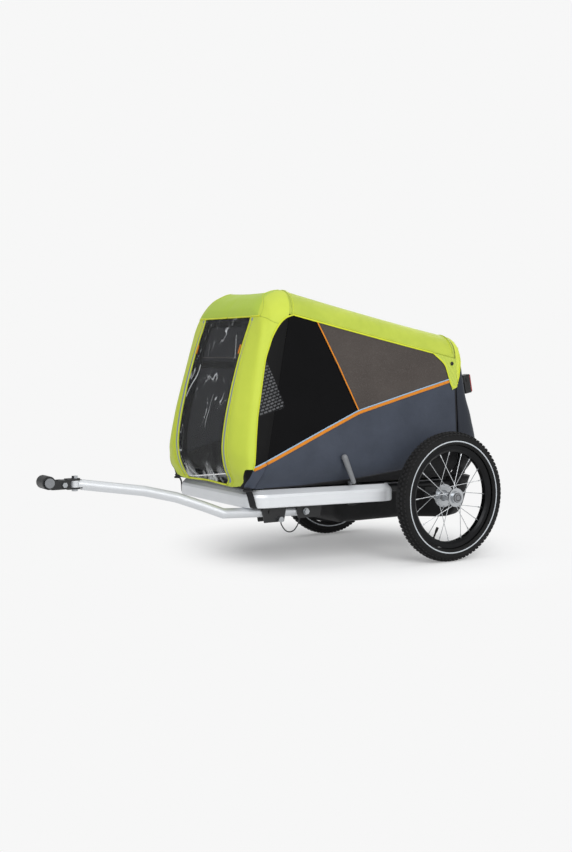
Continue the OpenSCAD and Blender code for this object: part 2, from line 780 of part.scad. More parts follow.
module lower_panel_left() {
    xs = [-470, -400, pipe_b[0], -140, -60, 10];
    color("#3a3f4b") at_axle() wall_panel(
        [
            [seam_s, lower_edge[0][1]], for (i = [1:7]) at(lower_edge[i][0], lower_edge[i][1]),
            [0.985, lower_edge_rear - 6], [1 - seam_s, lower_edge_rear]
        ],
        [
            pipe(-612.3, -seam_gap), for (x = xs) pipe(x, -seam_gap), pipe(pipe_c[0], -seam_gap),
            at(tail_tip[0], tail_tip[1] - 2), [1 - seam_s, tail_tip[1] + 6]
        ],
        7, 2);
}

// Gap between the skirt and the panel above it
skirt_gap = 0.9;
module skirt_left() {
    color("#1c1c1e") at_axle() wall_panel(
        [for (i = [2:7]) at(lower_edge[i][0], wall_z + 0.1), [0.985, wall_z + 0.1], [1 - seam_s, wall_z + 0.1]],
        [
            for (i = [2:7]) at(lower_edge[i][0], lower_edge[i][1] - skirt_gap),
            [0.985, lower_edge_rear - 6 - skirt_gap], [1 - seam_s, lower_edge_rear - skirt_gap]
        ],
        4, 2);
}

module roof_tail_left() {
    color("#a9c93f") at_axle() wall_panel(
        [
            band_at(2, 1.5), at(tail_corner[0], tail_corner[1]),
            at(tail_tip[0], tail_tip[1]), [1 - seam_s, tail_tip[1] + 8]
        ],
        [
            band_at(2, seam_gap), band_at(tail_corner[0], seam_gap),
            band_at(tail_tip[0], seam_gap), band_edge(1 - seam_s, seam_gap)
        ],
        4, 2);
}

// Share of the window's bow, against the height as a part of the window's own
bow_shape = [
    [0, 0], [0.06, 0.36], [0.1, 0.6], [0.15, 0.79], [0.2, 0.92], [0.25, 0.98], [0.31, 1],
    [0.42, 0.96], [0.58, 0.8], [0.71, 0.61], [0.81, 0.43], [0.88, 0.28], [0.95, 0.1], [1, 0]
];
function bow_at(z) = window_bow * lookup((z - window_low_z) / (window_top_z - window_low_z), bow_shape);

// ---- Front surround: rings from the window's edge back to the front hoop ----
// One ring: its foot x, lean, half width at foot and shoulder, top height and shoulder radius
// and the share of the window's bow that it follows
function front_ring(x, lean, foot, shoulder, top, r, full = 1, bow = 0) = let (
    low = wall_z + 4,
    zs = concat(
        [for (i = [0:10]) lerp(low, top - r, pow(i / 10, 1.3))],
        [for (a = shoulder_angles) top - r * (1 - sin(a))]
    ),
    left = [for (z = zs) [
        x + lean * (z - hoop_pin_z) - bow * bow_at(z),
        -lerp(foot + (shoulder - foot) * (z - wall_z) / (top - wall_z)
                - (z > top - r ? r - sqrt(max(r * r - pow(z - top + r, 2), 0)) : 0),
            wall_half(z, top, foot, shoulder, r), full),
        z
    ]],
    edge = left[len(left) - 1],
    half = concat(left, [for (k = crown_steps) [edge.x, edge.y * k, edge.z]])
) concat(half, [[edge.x, 0, edge.z]], mirrored(half));

window_foot_x = window_x - window_lean * (window_low_z - hoop_pin_z);
// The surround ends this far ahead of the hoop, clear of the roof and the side cloth
hood_gap = 1.2;
module front_surround() {
    color("#a9c93f") at_axle() sheet([
        front_ring(window_foot_x, window_lean, window_hw + seam_gap, window_hw + seam_gap,
            window_top_z + seam_gap, 1, 0, 1),
        front_ring(window_foot_x, window_lean, cabin_hw - 52, shoulder_front_hw - 60,
            window_top_z + 12, 34, 0.6, 1),
        front_ring(window_foot_x, window_lean * 1.04, cabin_hw - 15, shoulder_front_hw - 24,
            lerp(window_top_z, roof_front_z, 0.35), 75, 0.95, 0.5),
        front_ring(window_foot_x + 3, window_lean * 1.18, cabin_hw - 6, shoulder_front_hw - 14,
            lerp(window_top_z, roof_front_z, 0.62), 82, 1, 0.2),
        front_ring(window_foot_x + 10, window_lean * 1.26, cabin_hw - 2, shoulder_front_hw - 8,
            lerp(window_top_z, roof_front_z, 0.78), 85),
        front_ring(hoop_front_x - 10, (hoop_front_lean + window_lean * 1.26) / 2, cabin_hw,
            shoulder_front_hw - 3, lerp(window_top_z, roof_front_z, 0.94), 82),
        front_ring(hoop_front_x - hood_gap, hoop_front_lean, cabin_hw, shoulder_front_hw, roof_front_z,
            shoulder_front_r)
    ], fabric_t);
}

// ---- Front cover, hinged along the window's upper edge ----
film_t = 1;
curtain_back = film_t + 0.3;
function window_face(z, back) = [window_x + window_lean * (z - window_low_z) - bow_at(z) + back, z];

// A bowed sheet behind the window's face, from one height to another
module window_sheet(low, high, back, half) {
    zs = [for (p = bow_shape) min(max(lerp(window_low_z, window_top_z, p[0]), low), high)];
    plate_y(concat(
        [for (z = zs) window_face(z, back)],
        [for (i = [len(zs) - 1:-1:0]) window_face(zs[i], back + film_t)]
    ), -half, half);
}

module window_film() {
    color("#dfe6ea", 0.35) at_axle() window_sheet(window_low_z, window_top_z, 0, window_hw);
}

module mesh_curtain() {
    color("#202022") at_axle()
        window_sheet(window_low_z + 4, window_top_z - 2, curtain_back, window_hw - 1);
}

pull_l = 26;
pull_t = 2;
pull_gap = 0.5;
module zip_pulls() {
    high = window_top_z - 79;
    low = high - pull_l;
    color("#e8841a") at_axle() both_sides() plate_y([
        window_face(low, -pull_gap), window_face(high, -pull_gap),
        window_face(high, -pull_gap - pull_t), window_face(low, -pull_gap - pull_t)
    ], window_hw - 9, window_hw - 4);
}

// ---- Rear panel ----
// Height, as a part of the wall's height, against the reach to the rear
rear_reach = [
    [0, 0.85], [0.07, 0.87], [0.26, 1], [0.43, 0.81], [0.57, 0.58],
    [0.79, 0.39], [0.9, 0.33], [0.96, 0.23], [0.99, 0.1], [1, 0.02]
];
rear_rows = [0.008, 0.07, 0.16, 0.26, 0.35, 0.43, 0.5, 0.57, 0.68, 0.79, 0.86, 0.91, 0.95, 0.98, 0.995, 1];
rear_steps = 20;
function rear_point(h, a) = let (
    z = lerp(wall_z, roof_rear_z, h),
    x = skin_x(1, z) + seam_gap,
    reach = lookup(h, rear_reach) * (cabin_rear_x - hoop_rear_x)
) [x + reach * sqrt(cos(a)), sign(a) * skin_half(1, z) * pow(abs(sin(a)), 0.75), z];

module rear_panel() {
    color("#26272b") at_axle() sheet([
        for (i = [0:rear_steps]) [for (h = rear_rows) rear_point(h, lerp(-89.9, 89.9, i / rear_steps))]
    ], fabric_t);
}

lamp_z = 507;
lamp_y = 203;
lamp_size = [26, 26, 60];
lamp_tilt = -11;
lamp_x = hoop_rear_x + 71;
lens_t = 5;
module lamp_place() {
    at_axle() translate([lamp_x, -lamp_y, lamp_z]) rotate([0, lamp_tilt, 0]) children();
}

module tail_lamp_body() {
    color("#1a1a1c") lamp_place() translate([0, -lamp_size.y / 2, 0]) cube(lamp_size);
}

module tail_lamp_lens() {
    m = 2;
    color("#b01c1c") lamp_place() translate([lamp_size.x + 0.2, -lamp_size.y / 2 + m, m])
        cube([lens_t, lamp_size.y - 2 * m, lamp_size.z - 2 * m]);
}

// ---- Corner straps, drawn in the plane through the rail's front corner ----
strap_w = 20;
strap_t = 2;
strap_angle = 219;
buckle_size = [22, 28, 6];
module corner_place() {
    at_axle() translate([rail_c1.x, rail_c1.y, 0]) rotate([0, 0, strap_angle]) children();
}

module corner_strap_left() {
    r = rail_corner_r + 0.6;
    low = rail_top_z - rail_h - 0.8;
    path = [
        [r + 29, wall_z + 3.5], [r + 6, rail_top_z + 1], [r, rail_top_z - 12],
        [r, low + 2.4], [r - 2.8, low], [r - 14, low]
    ];
    // Way in which the strap's outer face lies off each point of the path
    out = [[0.1, -1], [0.7, -0.7], [1, 0], [1, -0.6], [0.6, -1], [0, -1]];
    color("#1a1a1c") corner_place() union() {
        rotate([90, 0, 0]) translate([0, 0, -strap_w / 2]) linear_extrude(strap_w) polygon(concat(
            path, [for (i = [len(path) - 1:-1:0]) path[i] + strap_t * out[i]]
        ));
        translate([r + 5, -buckle_size.y / 2, rail_top_z - 2.2]) cube(buckle_size);
    }
}

// ---- Frame locks and their levers ----
disc_in = side_y + tube_r + 0.3;
lever_y = 232;
lever_r = 4.5;
module lock_disc_left() {
    color("#1c1c1e") at_axle() difference() {
        outward(disc_x, disc_in, disc_in + 8, disc_z, disc_d / 2);
        outward(disc_x, disc_in + 1, disc_in + 20, disc_z, 6);
    }
}

module lock_lever_left() {
    points = [
        [disc_x, -lever_y, disc_z],
        [disc_x - 24, -lever_y, disc_z + 38.5],
        [disc_x - 34, -lever_y - 37, disc_z + 44],
        [disc_x - 68, -lever_y - 38, disc_z + 118]
    ];
    color("#77797c") at_axle() union() {
        outward(disc_x, disc_in + 1.2, disc_in + 10, disc_z, 5.95);
        outward(disc_x, disc_in + 8.4, lever_y + lever_r + 0.6, disc_z, 14);
        for (i = [0:2]) hull() {
            translate(points[i]) sphere(r = i < 2 ? lever_r : lever_root_d / 2, $fn = 24);
            translate(points[i + 1]) sphere(r = i < 2 ? lever_r : lever_tip_d / 2, $fn = 24);
        }
    }
}

// ---- Drawbar, on the left, with its fold pivot under the left side tube ----
bar_r = bar_d / 2;
bar_points = [
    [bar_pivot_x + 21, -bar_y, bar_pivot_z - 1], [-712, -bar_y + 0.6, bar_pivot_z + 11],
    [-768, -bar_y + 19, bar_pivot_z + 34], [-840, -bar_y + 40, bar_pivot_z + 61],
    [-930, -bar_y + 57, bar_pivot_z + 83], [hitch_yaw_x + 8, -hitch_y - 1, hitch_z - 2]
];
bar_eye_r = bar_r + 1;
eye_h = 18;
yaw_bolt_d = 10;

module drawbar() {
    color("#d0d2d5") at_axle() difference() {
        union() {
            rod_path(bar_points, bar_r, bend_swell);
            translate([hitch_yaw_x, -hitch_y, hitch_z - eye_h / 2]) cylinder(h = eye_h, r = bar_eye_r);
        }
        outward(bar_pivot_x, 0, side_y, bar_pivot_z, pivot_bolt_d / 2 + 0.05);
        translate([hitch_yaw_x, -hitch_y, hitch_z - eye_h]) cylinder(h = 2 * eye_h, r = yaw_bolt_d / 2 + 0.05);
        // Flat faces above and below the eye for the knuckle's plates
        for (side = [-1, 1])
            translate([hitch_yaw_x, -hitch_y, hitch_z + side * (eye_h / 2 + 10)])
                cube([2 * bar_eye_r + 2, 60, 20], center = true);
    }
}

plate_in = bar_y - bar_r - 0.5;
plate_out = bar_y + bar_r + 0.5;
web_top = frame_z - tube_r - 0.3;
web_low = web_top - 6;
module bracket_channel(xa, xb, low, slant) {
    for (y = [plate_in - bracket_t, plate_out])
        plate_y([[xa + slant, low], [xb - slant, low], [xb, web_top], [xa, web_top]], y, y + bracket_t);
    plate_y([[xa, web_low], [xb, web_low], [xb, web_top], [xa, web_top]], plate_in - 1, plate_out + 1);
}

module drawbar_bracket() {
    color("#1c1c1e") at_axle() difference() {
        union() {
            bracket_channel(bar_pivot_x - 36, bar_pivot_x + 60, bar_pivot_z - 19, 10);
            bracket_channel(lock_pin_x - 62, lock_pin_x + 28, lock_pin_z - 8, 12);
            outward(lock_pin_x - 32, plate_out + bracket_t - 1, plate_out + bracket_t + 2.5, bar_pivot_z + 6, 5);
        }
        outward(bar_pivot_x, 0, side_y + 20, bar_pivot_z, pivot_bolt_d / 2);
        outward(lock_pin_x, bar_y, side_y + 20, lock_pin_z, lock_pin_d / 2 + 0.05);
        outward(lock_pin_x, 0, bar_y, lock_pin_z, lock_pin_d / 2 + 0.05);
    }
}

module pivot_bolt() {
    head = plate_out + bracket_t;
    color("#b9bcc0") at_axle() union() {
        outward(bar_pivot_x, plate_in - bracket_t - 2, head + 1, bar_pivot_z, pivot_bolt_d / 2);
        outward(bar_pivot_x, head, head + 1.6, bar_pivot_z, pivot_bolt_d);
        translate([bar_pivot_x, -head - 1.6, bar_pivot_z]) rotate([90, 0, 0]) cylinder(h = 6, r = 8.5, $fn = 6);
        translate([bar_pivot_x, -plate_in + bracket_t + 5.2, bar_pivot_z]) rotate([90, 0, 0])
            cylinder(h = 5, r = 8.5, $fn = 6);
    }
}

// The pin's shank stops at the outer plate's inner face
module lock_pin() {
    head = plate_out + bracket_t + 0.3;
    color("#9b9ea2") at_axle() union() {
        outward(lock_pin_x, plate_out + 0.3, head + 1, lock_pin_z, lock_pin_d / 2);
        outward(lock_pin_x, head, head + 12, lock_pin_z, lock_pin_d);
    }
}

// ---- Lanyard of the lock pin ----
cord_r = 1.8;
cord_points = [
    [lock_pin_x, -214, lock_pin_z - lock_pin_d - 0.3], [lock_pin_x + 2, -215, 141], [lock_pin_x + 11, -213, 129],
    [lock_pin_x + 23, -210, 120], [lock_pin_x + 37, -207, 117], [lock_pin_x + 50, -205, 120],
    [lock_pin_x + 61, -204, 130], [lock_pin_x + 67, -204, 141], [lock_pin_x + 70, -204, bar_pivot_z - 19.1]
];
function cord_spot(t) = let (
    n = len(cord_points) - 1,
    i = min(floor(t), n - 1),
    u = t - i,
    p = cord_points[max(i - 1, 0)],
    q = cord_points[i],
    r = cord_points[i + 1],
    w = cord_points[min(i + 2, n)]
) q + 0.5 * u * (r - p + u * (2 * p - 5 * q + 4 * r - w + u * (3 * (q - r) + w - p)));

module cord(rings, r, sides) {
    n = len(cord_points) - 1;
    spots = [for (i = [0:rings]) cord_spot(i * n / rings)];
    m = sides;
    circles = [
        for (i = [0:rings]) let (
            d = unit(spots[min(i + 1, rings)] - spots[max(i - 1, 0)]),
            e = unit(cross([0, 1, 0], d)),
            f = cross(d, e)
        ) [for (j = [0:m - 1]) spots[i] + r * (cos(j * 360 / m) * e + sin(j * 360 / m) * f)]
    ];
    loft([for (c = circles) [for (j = [m - 1:-1:0]) c[j]]]);
}

module pin_lanyard() {
    color("#1a1a1c") at_axle() cord(48, cord_r, 8);
}

// ---- Hitch ----
knuckle_t = 5;
knuckle_gap = 0.4;
yoke_x = hitch_yaw_x - 36;
nose_r = 12;
arm_in = 14;
arm_t = 4;
hitch_bolt_d = 8;

module at_hitch() {
    at_axle() translate([0, -hitch_y, hitch_z]) children();
}

module hitch_knuckle() {
    plate_a = eye_h / 2 + knuckle_gap;
    plate_b = plate_a + knuckle_t;
    neck = hitch_yaw_x - bar_r - 3;
    color("#1c1c1e") at_hitch() difference() {
        union() {
            for (z = [plate_a, -plate_b]) {
                translate([hitch_yaw_x, 0, z]) cylinder(h = knuckle_t, r = bar_r);
                translate([neck - 1, -bar_r + 2, z]) cube([hitch_yaw_x - neck + 1, 2 * bar_r - 4, knuckle_t]);
            }
            translate([neck - 8, -bar_r + 2, -plate_b]) cube([8, 2 * bar_r - 4, 2 * plate_b]);
            translate([yoke_x, 0, 0]) rotate([90, 0, 0]) cylinder(h = 2 * arm_in, r = nose_r, center = true);
            translate([yoke_x, -arm_in, -nose_r]) cube([neck - yoke_x - 4, 2 * arm_in, 2 * nose_r]);
        }
        translate([hitch_yaw_x, 0, -30]) cylinder(h = 60, r = yaw_bolt_d / 2);
        translate([yoke_x, 0, 0]) rotate([90, 0, 0]) cylinder(h = 60, r = hitch_bolt_d / 2, center = true);
    }
}

barrel_z = 8;
module barrel_axis() {
    at_hitch() translate([barrel_x, 0, barrel_z]) rotate([90, 0, 0]) children();
}

module hitch_yoke() {
    web_x = barrel_x + barrel_d / 2;
    color("#2a2a2d") at_hitch() difference() {
        union() {
            for (y = [arm_in + 0.4, -arm_in - 0.4 - arm_t]) {
                translate([yoke_x, y, 0]) rotate([-90, 0, 0]) cylinder(h = arm_t, r = nose_r);
                translate([web_x - 8, y, -nose_r]) cube([yoke_x - web_x + 8, arm_t, 2 * nose_r]);
            }
            translate([web_x - 8, -arm_in - 1, -nose_r]) cube([14, 2 * arm_in + 2, 2 * nose_r]);
        }
        translate([yoke_x, 0, 0]) rotate([90, 0, 0]) cylinder(h = 60, r = hitch_bolt_d / 2 + 0.05, center = true);
        translate([barrel_x, 0, barrel_z]) rotate([90, 0, 0])
            cylinder(h = 100, r = barrel_d / 2 + 0.1, center = true);
    }
}

module hitch_bolts() {
    top = eye_h / 2 + knuckle_gap + knuckle_t;
    arm_out = arm_in + 0.4 + arm_t + 0.3;
    color("#b9bcc0") at_hitch() {
        union() {
            translate([hitch_yaw_x, 0, -top - 2]) cylinder(h = 2 * top + 4, r = yaw_bolt_d / 2);
            translate([hitch_yaw_x, 0, top + 0.1]) cylinder(h = 6.5, r = 9, $fn = 6);
            translate([hitch_yaw_x, 0, -top - 5.6]) cylinder(h = 5.5, r = 9, $fn = 6);
        }
        union() {
            translate([yoke_x, 0, 0]) rotate([90, 0, 0]) cylinder(h = 2 * arm_out + 2, r = hitch_bolt_d / 2, center = true);
            for (side = [-1, 1])
                translate([yoke_x, side * (arm_out + 2.5), 0]) rotate([90, 0, 0])
                    cylinder(h = 5, r = 7.5, $fn = 6, center = true);
        }
    }
}

module coupling_barrel() {
    color("#1a1a1c") barrel_axis() difference() {
        translate([0, 0, -barrel_l / 2]) cylinder(h = barrel_l, r = barrel_d / 2);
        translate([0, 0, -barrel_l / 2 - 1]) cylinder(h = socket_l + 1, r = socket_d / 2);
        translate([0, 0, barrel_l / 2 - 12]) cylinder(h = 20, r = 4.05);
    }
}

module coupling_button() {
    base = barrel_l / 2 + hitch_button_travel + 0.4;
    color("#8d9094") barrel_axis() union() {
        translate([0, 0, base]) cylinder(h = 4, r = hitch_button_d / 2);
        translate([0, 0, base - 10]) cylinder(h = 11, r = 4);
    }
}

// ---- Right-hand pieces ----
module tyre_right() { on_right() tyre(); }
module rim_right() { on_right() rim(); }
module spokes_right() { on_right() spokes(); }
module hub_right() { on_right() hub(); }
module valve_right() { on_right() valve(); }
module stub_axle_right() { on_right() stub_axle(); }
module hub_button_right() { on_right() hub_button(); }
module roof_tail_right() { on_right() roof_tail_left(); }
module side_window_right() { on_right() side_window_left(); }
module side_panel_right() { on_right() side_panel_left(); }
module lower_panel_right() { on_right() lower_panel_left(); }
module skirt_right() { on_right() skirt_left(); }
module corner_strap_right() { on_right() corner_strap_left(); }
module lock_disc_right() { on_right() lock_disc_left(); }
module lock_lever_right() { on_right() lock_lever_left(); }

tyre();  // tyre_left
tyre_right();
rim();  // rim_left
rim_right();
spokes();  // spokes_left
spokes_right();
hub();  // hub_left
hub_right();
valve();  // valve_left
valve_right();
stub_axle();  // stub_axle_left
stub_axle_right();
hub_button();  // hub_button_left
hub_button_right();
axle_blocks();
side_tubes();
cross_tubes();
bumper_rail();
rail_spacers();
belly_tub();
floor_board();
front_ramp_board();
hoop_brackets();
hoop_pins();
front_hoop();
rear_hoop();
front_surround();
window_film();
mesh_curtain();
zip_pulls();
roof();
roof_tail_left();
roof_tail_right();
side_window_left();
side_window_right();
side_panel_left();
side_panel_right();
lower_panel_left();
lower_panel_right();
skirt_left();
skirt_right();
rear_panel();
tail_lamp_body();
tail_lamp_lens();
corner_strap_left();
corner_strap_right();
lock_disc_left();
lock_disc_right();
lock_lever_left();
lock_lever_right();
drawbar();
drawbar_bracket();
pivot_bolt();
lock_pin();
pin_lanyard();
hitch_knuckle();
hitch_yoke();
hitch_bolts();
coupling_barrel();
coupling_button();
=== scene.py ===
import math

import bmesh
import bpy
from bpy.props import FloatProperty, FloatVectorProperty, IntProperty, PointerProperty
from mathutils import Matrix, Vector, noise


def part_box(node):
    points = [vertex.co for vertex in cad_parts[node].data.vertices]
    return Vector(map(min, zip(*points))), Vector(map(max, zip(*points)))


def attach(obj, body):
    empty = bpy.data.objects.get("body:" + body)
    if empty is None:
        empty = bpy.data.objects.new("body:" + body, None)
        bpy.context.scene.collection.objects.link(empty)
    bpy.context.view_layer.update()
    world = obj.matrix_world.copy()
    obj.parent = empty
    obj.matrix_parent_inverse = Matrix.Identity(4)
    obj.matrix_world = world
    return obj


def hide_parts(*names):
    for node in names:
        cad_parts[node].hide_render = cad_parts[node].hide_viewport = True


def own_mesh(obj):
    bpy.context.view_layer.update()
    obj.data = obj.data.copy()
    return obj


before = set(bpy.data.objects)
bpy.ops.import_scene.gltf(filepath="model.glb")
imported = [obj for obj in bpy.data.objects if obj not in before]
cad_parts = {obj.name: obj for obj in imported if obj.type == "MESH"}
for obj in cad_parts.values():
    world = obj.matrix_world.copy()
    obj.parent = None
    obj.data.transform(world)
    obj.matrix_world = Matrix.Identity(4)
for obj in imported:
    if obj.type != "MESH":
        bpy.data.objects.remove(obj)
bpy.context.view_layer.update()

bl_info = {
    "name": "Bicycle trailer with fabric cabin",
    "version": (1, 0, 0),
    "blender": (4, 5, 0),
    "location": "View3D > Sidebar > Trailer",
    "description": "Dresses a two-wheeled bicycle trailer: fabric cabin, tyres, trims and finishes",
    "category": "Object",
}

MM = 0.001
WELD = 0.00001
UP = Vector((0, 0, 1))


# ---------------------------------------------------------------- numbers and colours
def lerp(a, b, t):
    return a + (b - a) * t


def clamp(x, low=0.0, high=1.0):
    return min(max(x, low), high)


def smooth(a, b, x):
    """0 where x is at a, 1 where it is at b, eased in between and flat beyond. a may be the larger."""
    t = clamp((x - a) / (b - a))
    return t * t * (3 - 2 * t)


def spread(a, b, n):
    """The n + 1 values from a to b at even steps."""
    return [lerp(a, b, i / n) for i in range(n + 1)]


def round_angles(n):
    """n angles at even steps round a circle."""
    return [2 * math.pi * k / n for k in range(n)]


def lookup(x, table):
    """The value at x along a table of (x, value) points, held flat past its ends."""
    if x <= table[0][0]:
        return table[0][1]
    for (xa, ya), (xb, yb) in zip(table, table[1:]):
        if x <= xb:
            return lerp(ya, yb, (x - xa) / (xb - xa))
    return table[-1][1]


def blended(x, table, reach, side, middle):
    """A table's value at x, evened out over a reach to both sides by weights."""
    parts = ((-reach, side), (0, middle), (reach, side))
    return sum(weight * lookup(clamp(x + d), table) for d, weight in parts)


def linear(hex_colour):
    """An sRGB hex colour as linear red, green, blue and alpha."""
    out = []
    for i in (1, 3, 5):
        c = int(hex_colour[i:i + 2], 16) / 255
        out.append(c / 12.92 if c <= 0.04045 else ((c + 0.055) / 1.055) ** 2.4)
    return (*out, 1.0)


def hex_of(colour):
    """A colour property (linear) written as an sRGB hex value."""
    out = "#"
    for c in colour[:3]:
        c = 12.92 * c if c <= 0.0031308 else 1.055 * c ** (1 / 2.4) - 0.055
        out += f"{round(clamp(c) * 255):02x}"
    return out


# ---------------------------------------------------------------- places in the frame
def centre(node):
    lo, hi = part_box(node)
    return (Vector(lo) + Vector(hi)) / 2


AXLE_X = centre("hub_left").x


def at_axle(x, y, z):
    """Millimetres from the point on the ground under the axle, as a point in the frame."""
    return Vector((AXLE_X + x * MM, y * MM, z * MM))


# ---------------------------------------------------------------- meshes
FINISH = {}


def add_object(name, data):
    obj = bpy.data.objects.new(name, data)
    bpy.context.scene.collection.objects.link(obj)
    return obj


def new_mesh(name, verts, faces, uvs=None, edges=(), smooth_shade=True):
    mesh = bpy.data.meshes.new(name)
    mesh.from_pydata([tuple(v) for v in verts], edges, faces)
    if uvs:
        layer = mesh.uv_layers.new(name="UVMap")
        for loop in mesh.loops:
            layer.data[loop.index].uv = uvs[loop.vertex_index]
    if smooth_shade:
        mesh.shade_smooth()
    return add_object(name, mesh)


def run_lengths(points):
    """The distance along points up to each of them."""
    out = [0.0]
    for a, b in zip(points, points[1:]):
        out.append(out[-1] + (b - a).length)
    return out


def grid(name, rows, finish, closed=False):
    """A surface over rows of points. UVs are arc lengths in metres."""
    n, m = len(rows), len(rows[0])
    faces = []
    for i in range(n - 1):
        for j in range(m if closed else m - 1):
            k = (j + 1) % m
            faces.append((i * m + j, i * m + k, (i + 1) * m + k, (i + 1) * m + j))
    u = run_lengths([row[m // 2] for row in rows])
    v = run_lengths(rows[n // 2])
    uvs = [(u[i], v[j]) for i in range(n) for j in range(m)]
    obj = new_mesh(name, [p for row in rows for p in row], faces, uvs)
    obj.data.materials.append(FINISH[finish])
    return obj


def bake_modifiers(obj):
    """Replaces an object's mesh by what its modifiers make of it."""
    deps = bpy.context.evaluated_depsgraph_get()
    mesh = bpy.data.meshes.new_from_object(obj.evaluated_get(deps))
    obj.modifiers.clear()
    obj.data = mesh
    return obj


def thicken(obj, thickness):
    """Gives an open sheet its thickness, inwards from its outer face."""
    mod = obj.modifiers.new("Thickness", "SOLIDIFY")
    mod.thickness = thickness
    mod.offset = -1
    return bake_modifiers(obj)


def edit_mesh(obj, work):
    """Runs work on an object's mesh and turns its faces outwards again."""
    bm = bmesh.new()
    bm.from_mesh(obj.data)
    work(bm)
    bmesh.ops.recalc_face_normals(bm, faces=bm.faces)
    bm.to_mesh(obj.data)
    bm.free()
    return obj


def close_ends(obj):
    def fill(bm):
        bmesh.ops.holes_fill(bm, edges=[e for e in bm.edges if e.is_boundary], sides=0)
    return edit_mesh(obj, fill)


def close_ring(obj):
    """Welds the first and last row of a surface that runs round in a ring."""
    def weld(bm):
        bmesh.ops.remove_doubles(bm, verts=bm.verts, dist=WELD)
    return edit_mesh(obj, weld)


def tube(name, points, radius, finish, sides=10, flat=1.0, up=None, closed=False):
    """A tube along points. flat squeezes it along its second axis, and up sets its first one."""
    rows = []
    n = len(points)
    for i, p in enumerate(points):
        before = points[i - 1 if closed else max(i - 1, 0)]
        after = points[(i + 1) % n if closed else min(i + 1, n - 1)]
        d = (after - before).normalized()
        ref = up[i] if up else UP if abs(d.z) < 0.9 else Vector((0, 1, 0))
        e = (ref - d * ref.dot(d)).normalized()
        f = d.cross(e)
        rows.append([p + radius * (math.cos(t) * e + flat * math.sin(t) * f) for t in round_angles(sides)])
    if closed:
        return close_ring(grid(name, rows + [rows[0]], finish, closed=True))
    return close_ends(grid(name, rows, finish, closed=True))


def box_part(name, size, place, bevel, finish, segments):
    """A rounded block of the given size, centred at place (a 4x4 matrix)."""
    bm = bmesh.new()
    bmesh.ops.create_cube(bm, size=1.0)
    bmesh.ops.scale(bm, vec=size, verts=bm.verts)
    bmesh.ops.bevel(bm, geom=list(bm.edges), offset=bevel, segments=segments, profile=0.6, affect="EDGES")
    bmesh.ops.transform(bm, matrix=place, verts=bm.verts)
    mesh = bpy.data.meshes.new(name)
    bm.to_mesh(mesh)
    bm.free()
    mesh.shade_smooth()
    mesh.materials.append(FINISH[finish])
    return add_object(name, mesh)


def join(name, objs):
    """Joins meshes at the origin into one object of that name."""
    bm = bmesh.new()
    slots = []
    for o in objs:
        index = []
        for mat in o.data.materials:
            if mat not in slots:
                slots.append(mat)
            index.append(slots.index(mat))
        start = len(bm.faces)
        bm.from_mesh(o.data)
        bm.faces.ensure_lookup_table()
        for f in bm.faces[start:]:
            f.material_index = index[f.material_index]
    mesh = bpy.data.meshes.new(name)
    bm.to_mesh(mesh)
    bm.free()
    for mat in slots:
        mesh.materials.append(mat)
    for o in objs:
        bpy.data.objects.remove(o)
    return add_object(name, mesh)


def mirror_object(obj, name):
    """A copy on the other side of the middle plane, with its faces turned back outwards."""
    mesh = obj.data.copy()
    mesh.transform(Matrix.Diagonal((1, -1, 1, 1)))
    mesh.flip_normals()
    return add_object(name, mesh)


def both(objs, name):
    """One object of the left pieces and their mirror images."""
    made = []
    for o in objs:
        made += [o, mirror_object(o, o.name + "_b")]
    return join(name, made)


def face_out(obj, inside):
    """Turns an open sheet so that its faces look away from a point inside."""
    if sum(p.normal.dot(p.center - inside) * p.area for p in obj.data.polygons) < 0:
        obj.data.flip_normals()
    return obj


def mark(obj, name, values):
    """Keeps one number for each vertex, for a material to read by that name."""
    layer = obj.data.attributes.new(name, "FLOAT", "POINT")
    for item, value in zip(layer.data, values):
        item.value = value


def resample(points, step):
    """Points at even steps along a polyline, its corners eased."""
    out = []
    for a, b in zip(points, points[1:]):
        a, b = Vector(a), Vector(b)
        n = max(1, int((b - a).length / step))
        out += [a.lerp(b, i / n) for i in range(n)]
    out.append(Vector(points[-1]))
    for _ in range(3):
        eased = [(a + 2 * b + c) / 4 for a, b, c in zip(out, out[1:], out[2:])]
        out = [out[0]] + eased + [out[-1]]
    return out


def curve_point(points, at):
    """A point on a smooth curve through points[0], points[1] and so on. points is called with a number."""
    i = int(at)
    u = at - i
    a, b, c, d = (points(j) for j in range(i - 1, i + 3))
    return b + 0.5 * u * (c - a + u * (2 * a - 5 * b + 4 * c - d + u * (3 * (b - c) + d - a)))


# ---------------------------------------------------------------- nodes
def add(tree, kind, inputs=None, **settings):
    """Adds a node with its settings. Each input is a number, a hex colour or another node's output."""
    node = tree.nodes.new(kind)
    for key, value in settings.items():
        setattr(node, key, value)
    for key, value in (inputs or {}).items():
        if isinstance(value, bpy.types.NodeSocket):
            tree.links.new(value, node.inputs[key])
        else:
            node.inputs[key].default_value = linear(value) if isinstance(value, str) else value
    return node


def maths(tree, op, a, b=0.0, clamped=False):
    return add(tree, "ShaderNodeMath", {0: a, 1: b}, operation=op, use_clamp=clamped).outputs[0]


def object_space(tree):
    return add(tree, "ShaderNodeTexCoord").outputs["Object"]


def sheet_space(tree):
    return add(tree, "ShaderNodeTexCoord").outputs["UV"]


def stretched(tree, place, scale):
    return add(tree, "ShaderNodeMapping", {"Vector": place, "Scale": scale}).outputs[0]


def axes(tree, place):
    return add(tree, "ShaderNodeSeparateXYZ", {0: place}).outputs


def marked(tree, name):
    """What mark() kept on the mesh by this name."""
    return add(tree, "ShaderNodeAttribute", attribute_name=name).outputs["Fac"]


